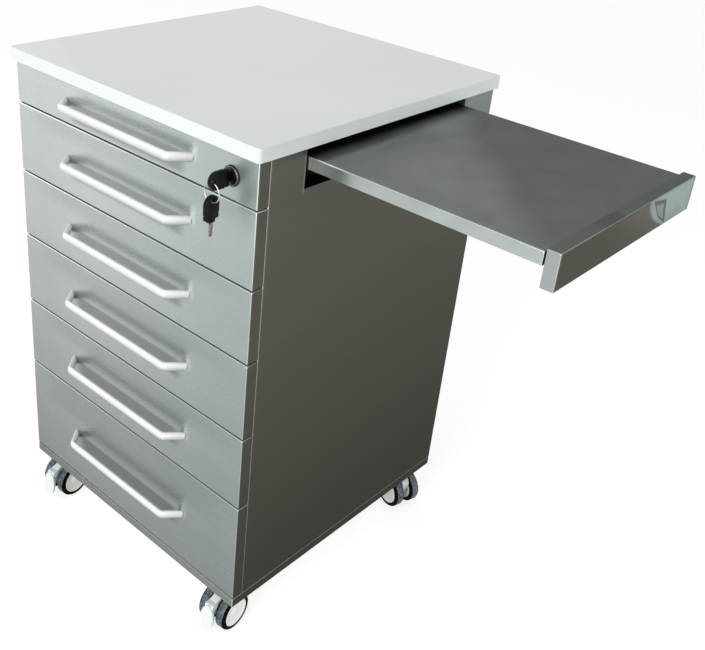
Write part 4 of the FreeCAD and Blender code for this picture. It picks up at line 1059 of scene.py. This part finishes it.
def key_head_outline():
    """One flank and half of the arch's round, and their mirror image, as points along and across the key."""
    flank = [(-0.0042, 0.0050), (-0.0004, 0.0050), (0.0, 0.0108), (0.0044, 0.0112), (0.0050, 0.0103),
             (0.0064, 0.0103), (0.0070, HEAD_HALF), (ARCH_FROM, HEAD_HALF)]
    turns = [math.radians(degrees) for degrees in range(10, 180, 10)]
    arch = [(ARCH_FROM + HEAD_HALF * math.sin(turn), HEAD_HALF * math.cos(turn)) for turn in turns]
    return [(x, -y) for x, y in flank + arch] + list(reversed(flank))


def key_shapes():
    """Head and blade of a key along +X of its own frame: the head from 0 to 30 mm, the blade behind it."""
    head = holed_plate(key_head_outline(), circle_points(HOLE, 24, HOLE_AT), half=0.0030, edge=0.0009)
    cuts = [(BLADE_END, -0.0010), (-0.0215, -0.0026), (-0.019, -0.0026), (-0.0178, -0.0012),
            (-0.0165, -0.0028), (-0.0150, -0.0028), (-0.0138, -0.0008), (-0.0125, -0.0026),
            (-0.0105, -0.0026), (-0.0092, -0.0014), (-0.0078, -0.0029), (0.001, -0.0029), (0.001, 0.0029),
            (-0.0215, 0.0029), (BLADE_END, 0.0014)]
    groove = [(-0.0200, -0.0004), (0.0, -0.0004), (0.0, 0.0010), (-0.0200, 0.0010)]
    groove = plate(rounded_outline(groove, 0.0006), -0.00112, 0.00112, edge=0.0001, steps=1)
    return head, joined(plate(cuts, -0.001, 0.001, edge=0.00015, steps=1), groove)


def add_key(name, matrix, body, *replaced):
    """A key's head and blade as two pieces, in a place that is given for the key's own frame."""
    head, blade = key_shapes()
    shaped(name + "_head", head, key_black, body, *replaced, place=matrix)
    shaped(name + "_blade", blade, blade_steel, body, place=matrix)


# %% Key in the lock
# its own +X points out of the lock, and its thickness lies across
key_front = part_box("key")[0].y
into_lock = Matrix(((0, 0, 1, lock_x), (-1, 0, 0, key_front + HEAD_LENGTH), (0, 1, 0, lock_z), (0, 0, 0, 1)))
add_key("key", into_lock, "key", "key")
print("key reaches", round((sheet_face - key_front) * 1000, 1), "mm out of the sheet")

# %% [markdown]
# The split ring is a thin round wire, so it is a small circle turned about the ring's axis. The spare key is
# on its lowest stretch, with its hole just above the wire.

# %% Ring and spare key
WIRE = 0.0007
ring_low, ring_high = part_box("key_ring")
ring_middle = (ring_low + ring_high) / 2
ring_reach = (ring_high.x - ring_low.x) / 2
ring = turned(circle_points(WIRE, 12, ring_reach - WIRE), steps=120, closed=True)
ring_spot = Matrix.Translation(ring_middle) @ Matrix.Rotation(math.radians(90), 4, "X")
shaped("split_ring", ring, nickel, "key_ring", "key_ring", sharp=80, place=ring_spot)

hole_height = ring_low.z + WIRE * 2 + HOLE - 0.0001
hole_spot = Matrix.Translation((ring_middle.x, ring_middle.y, hole_height))
hang = hole_spot @ Matrix.Rotation(math.radians(5), 4, "Z")
# its +X points up from the hole, and its flat sides are across, as its fellow's are
head_up = Matrix(((0, 0, 1, 0), (0, 1, 0, 0), (1, 0, 0, -HOLE_AT), (0, 0, 0, 1)))
add_key("spare_key", hang @ head_up, "key_ring")
print("spare key down to", round((hole_height - HOLE_AT + BLADE_END) * 1000, 1), "mm")
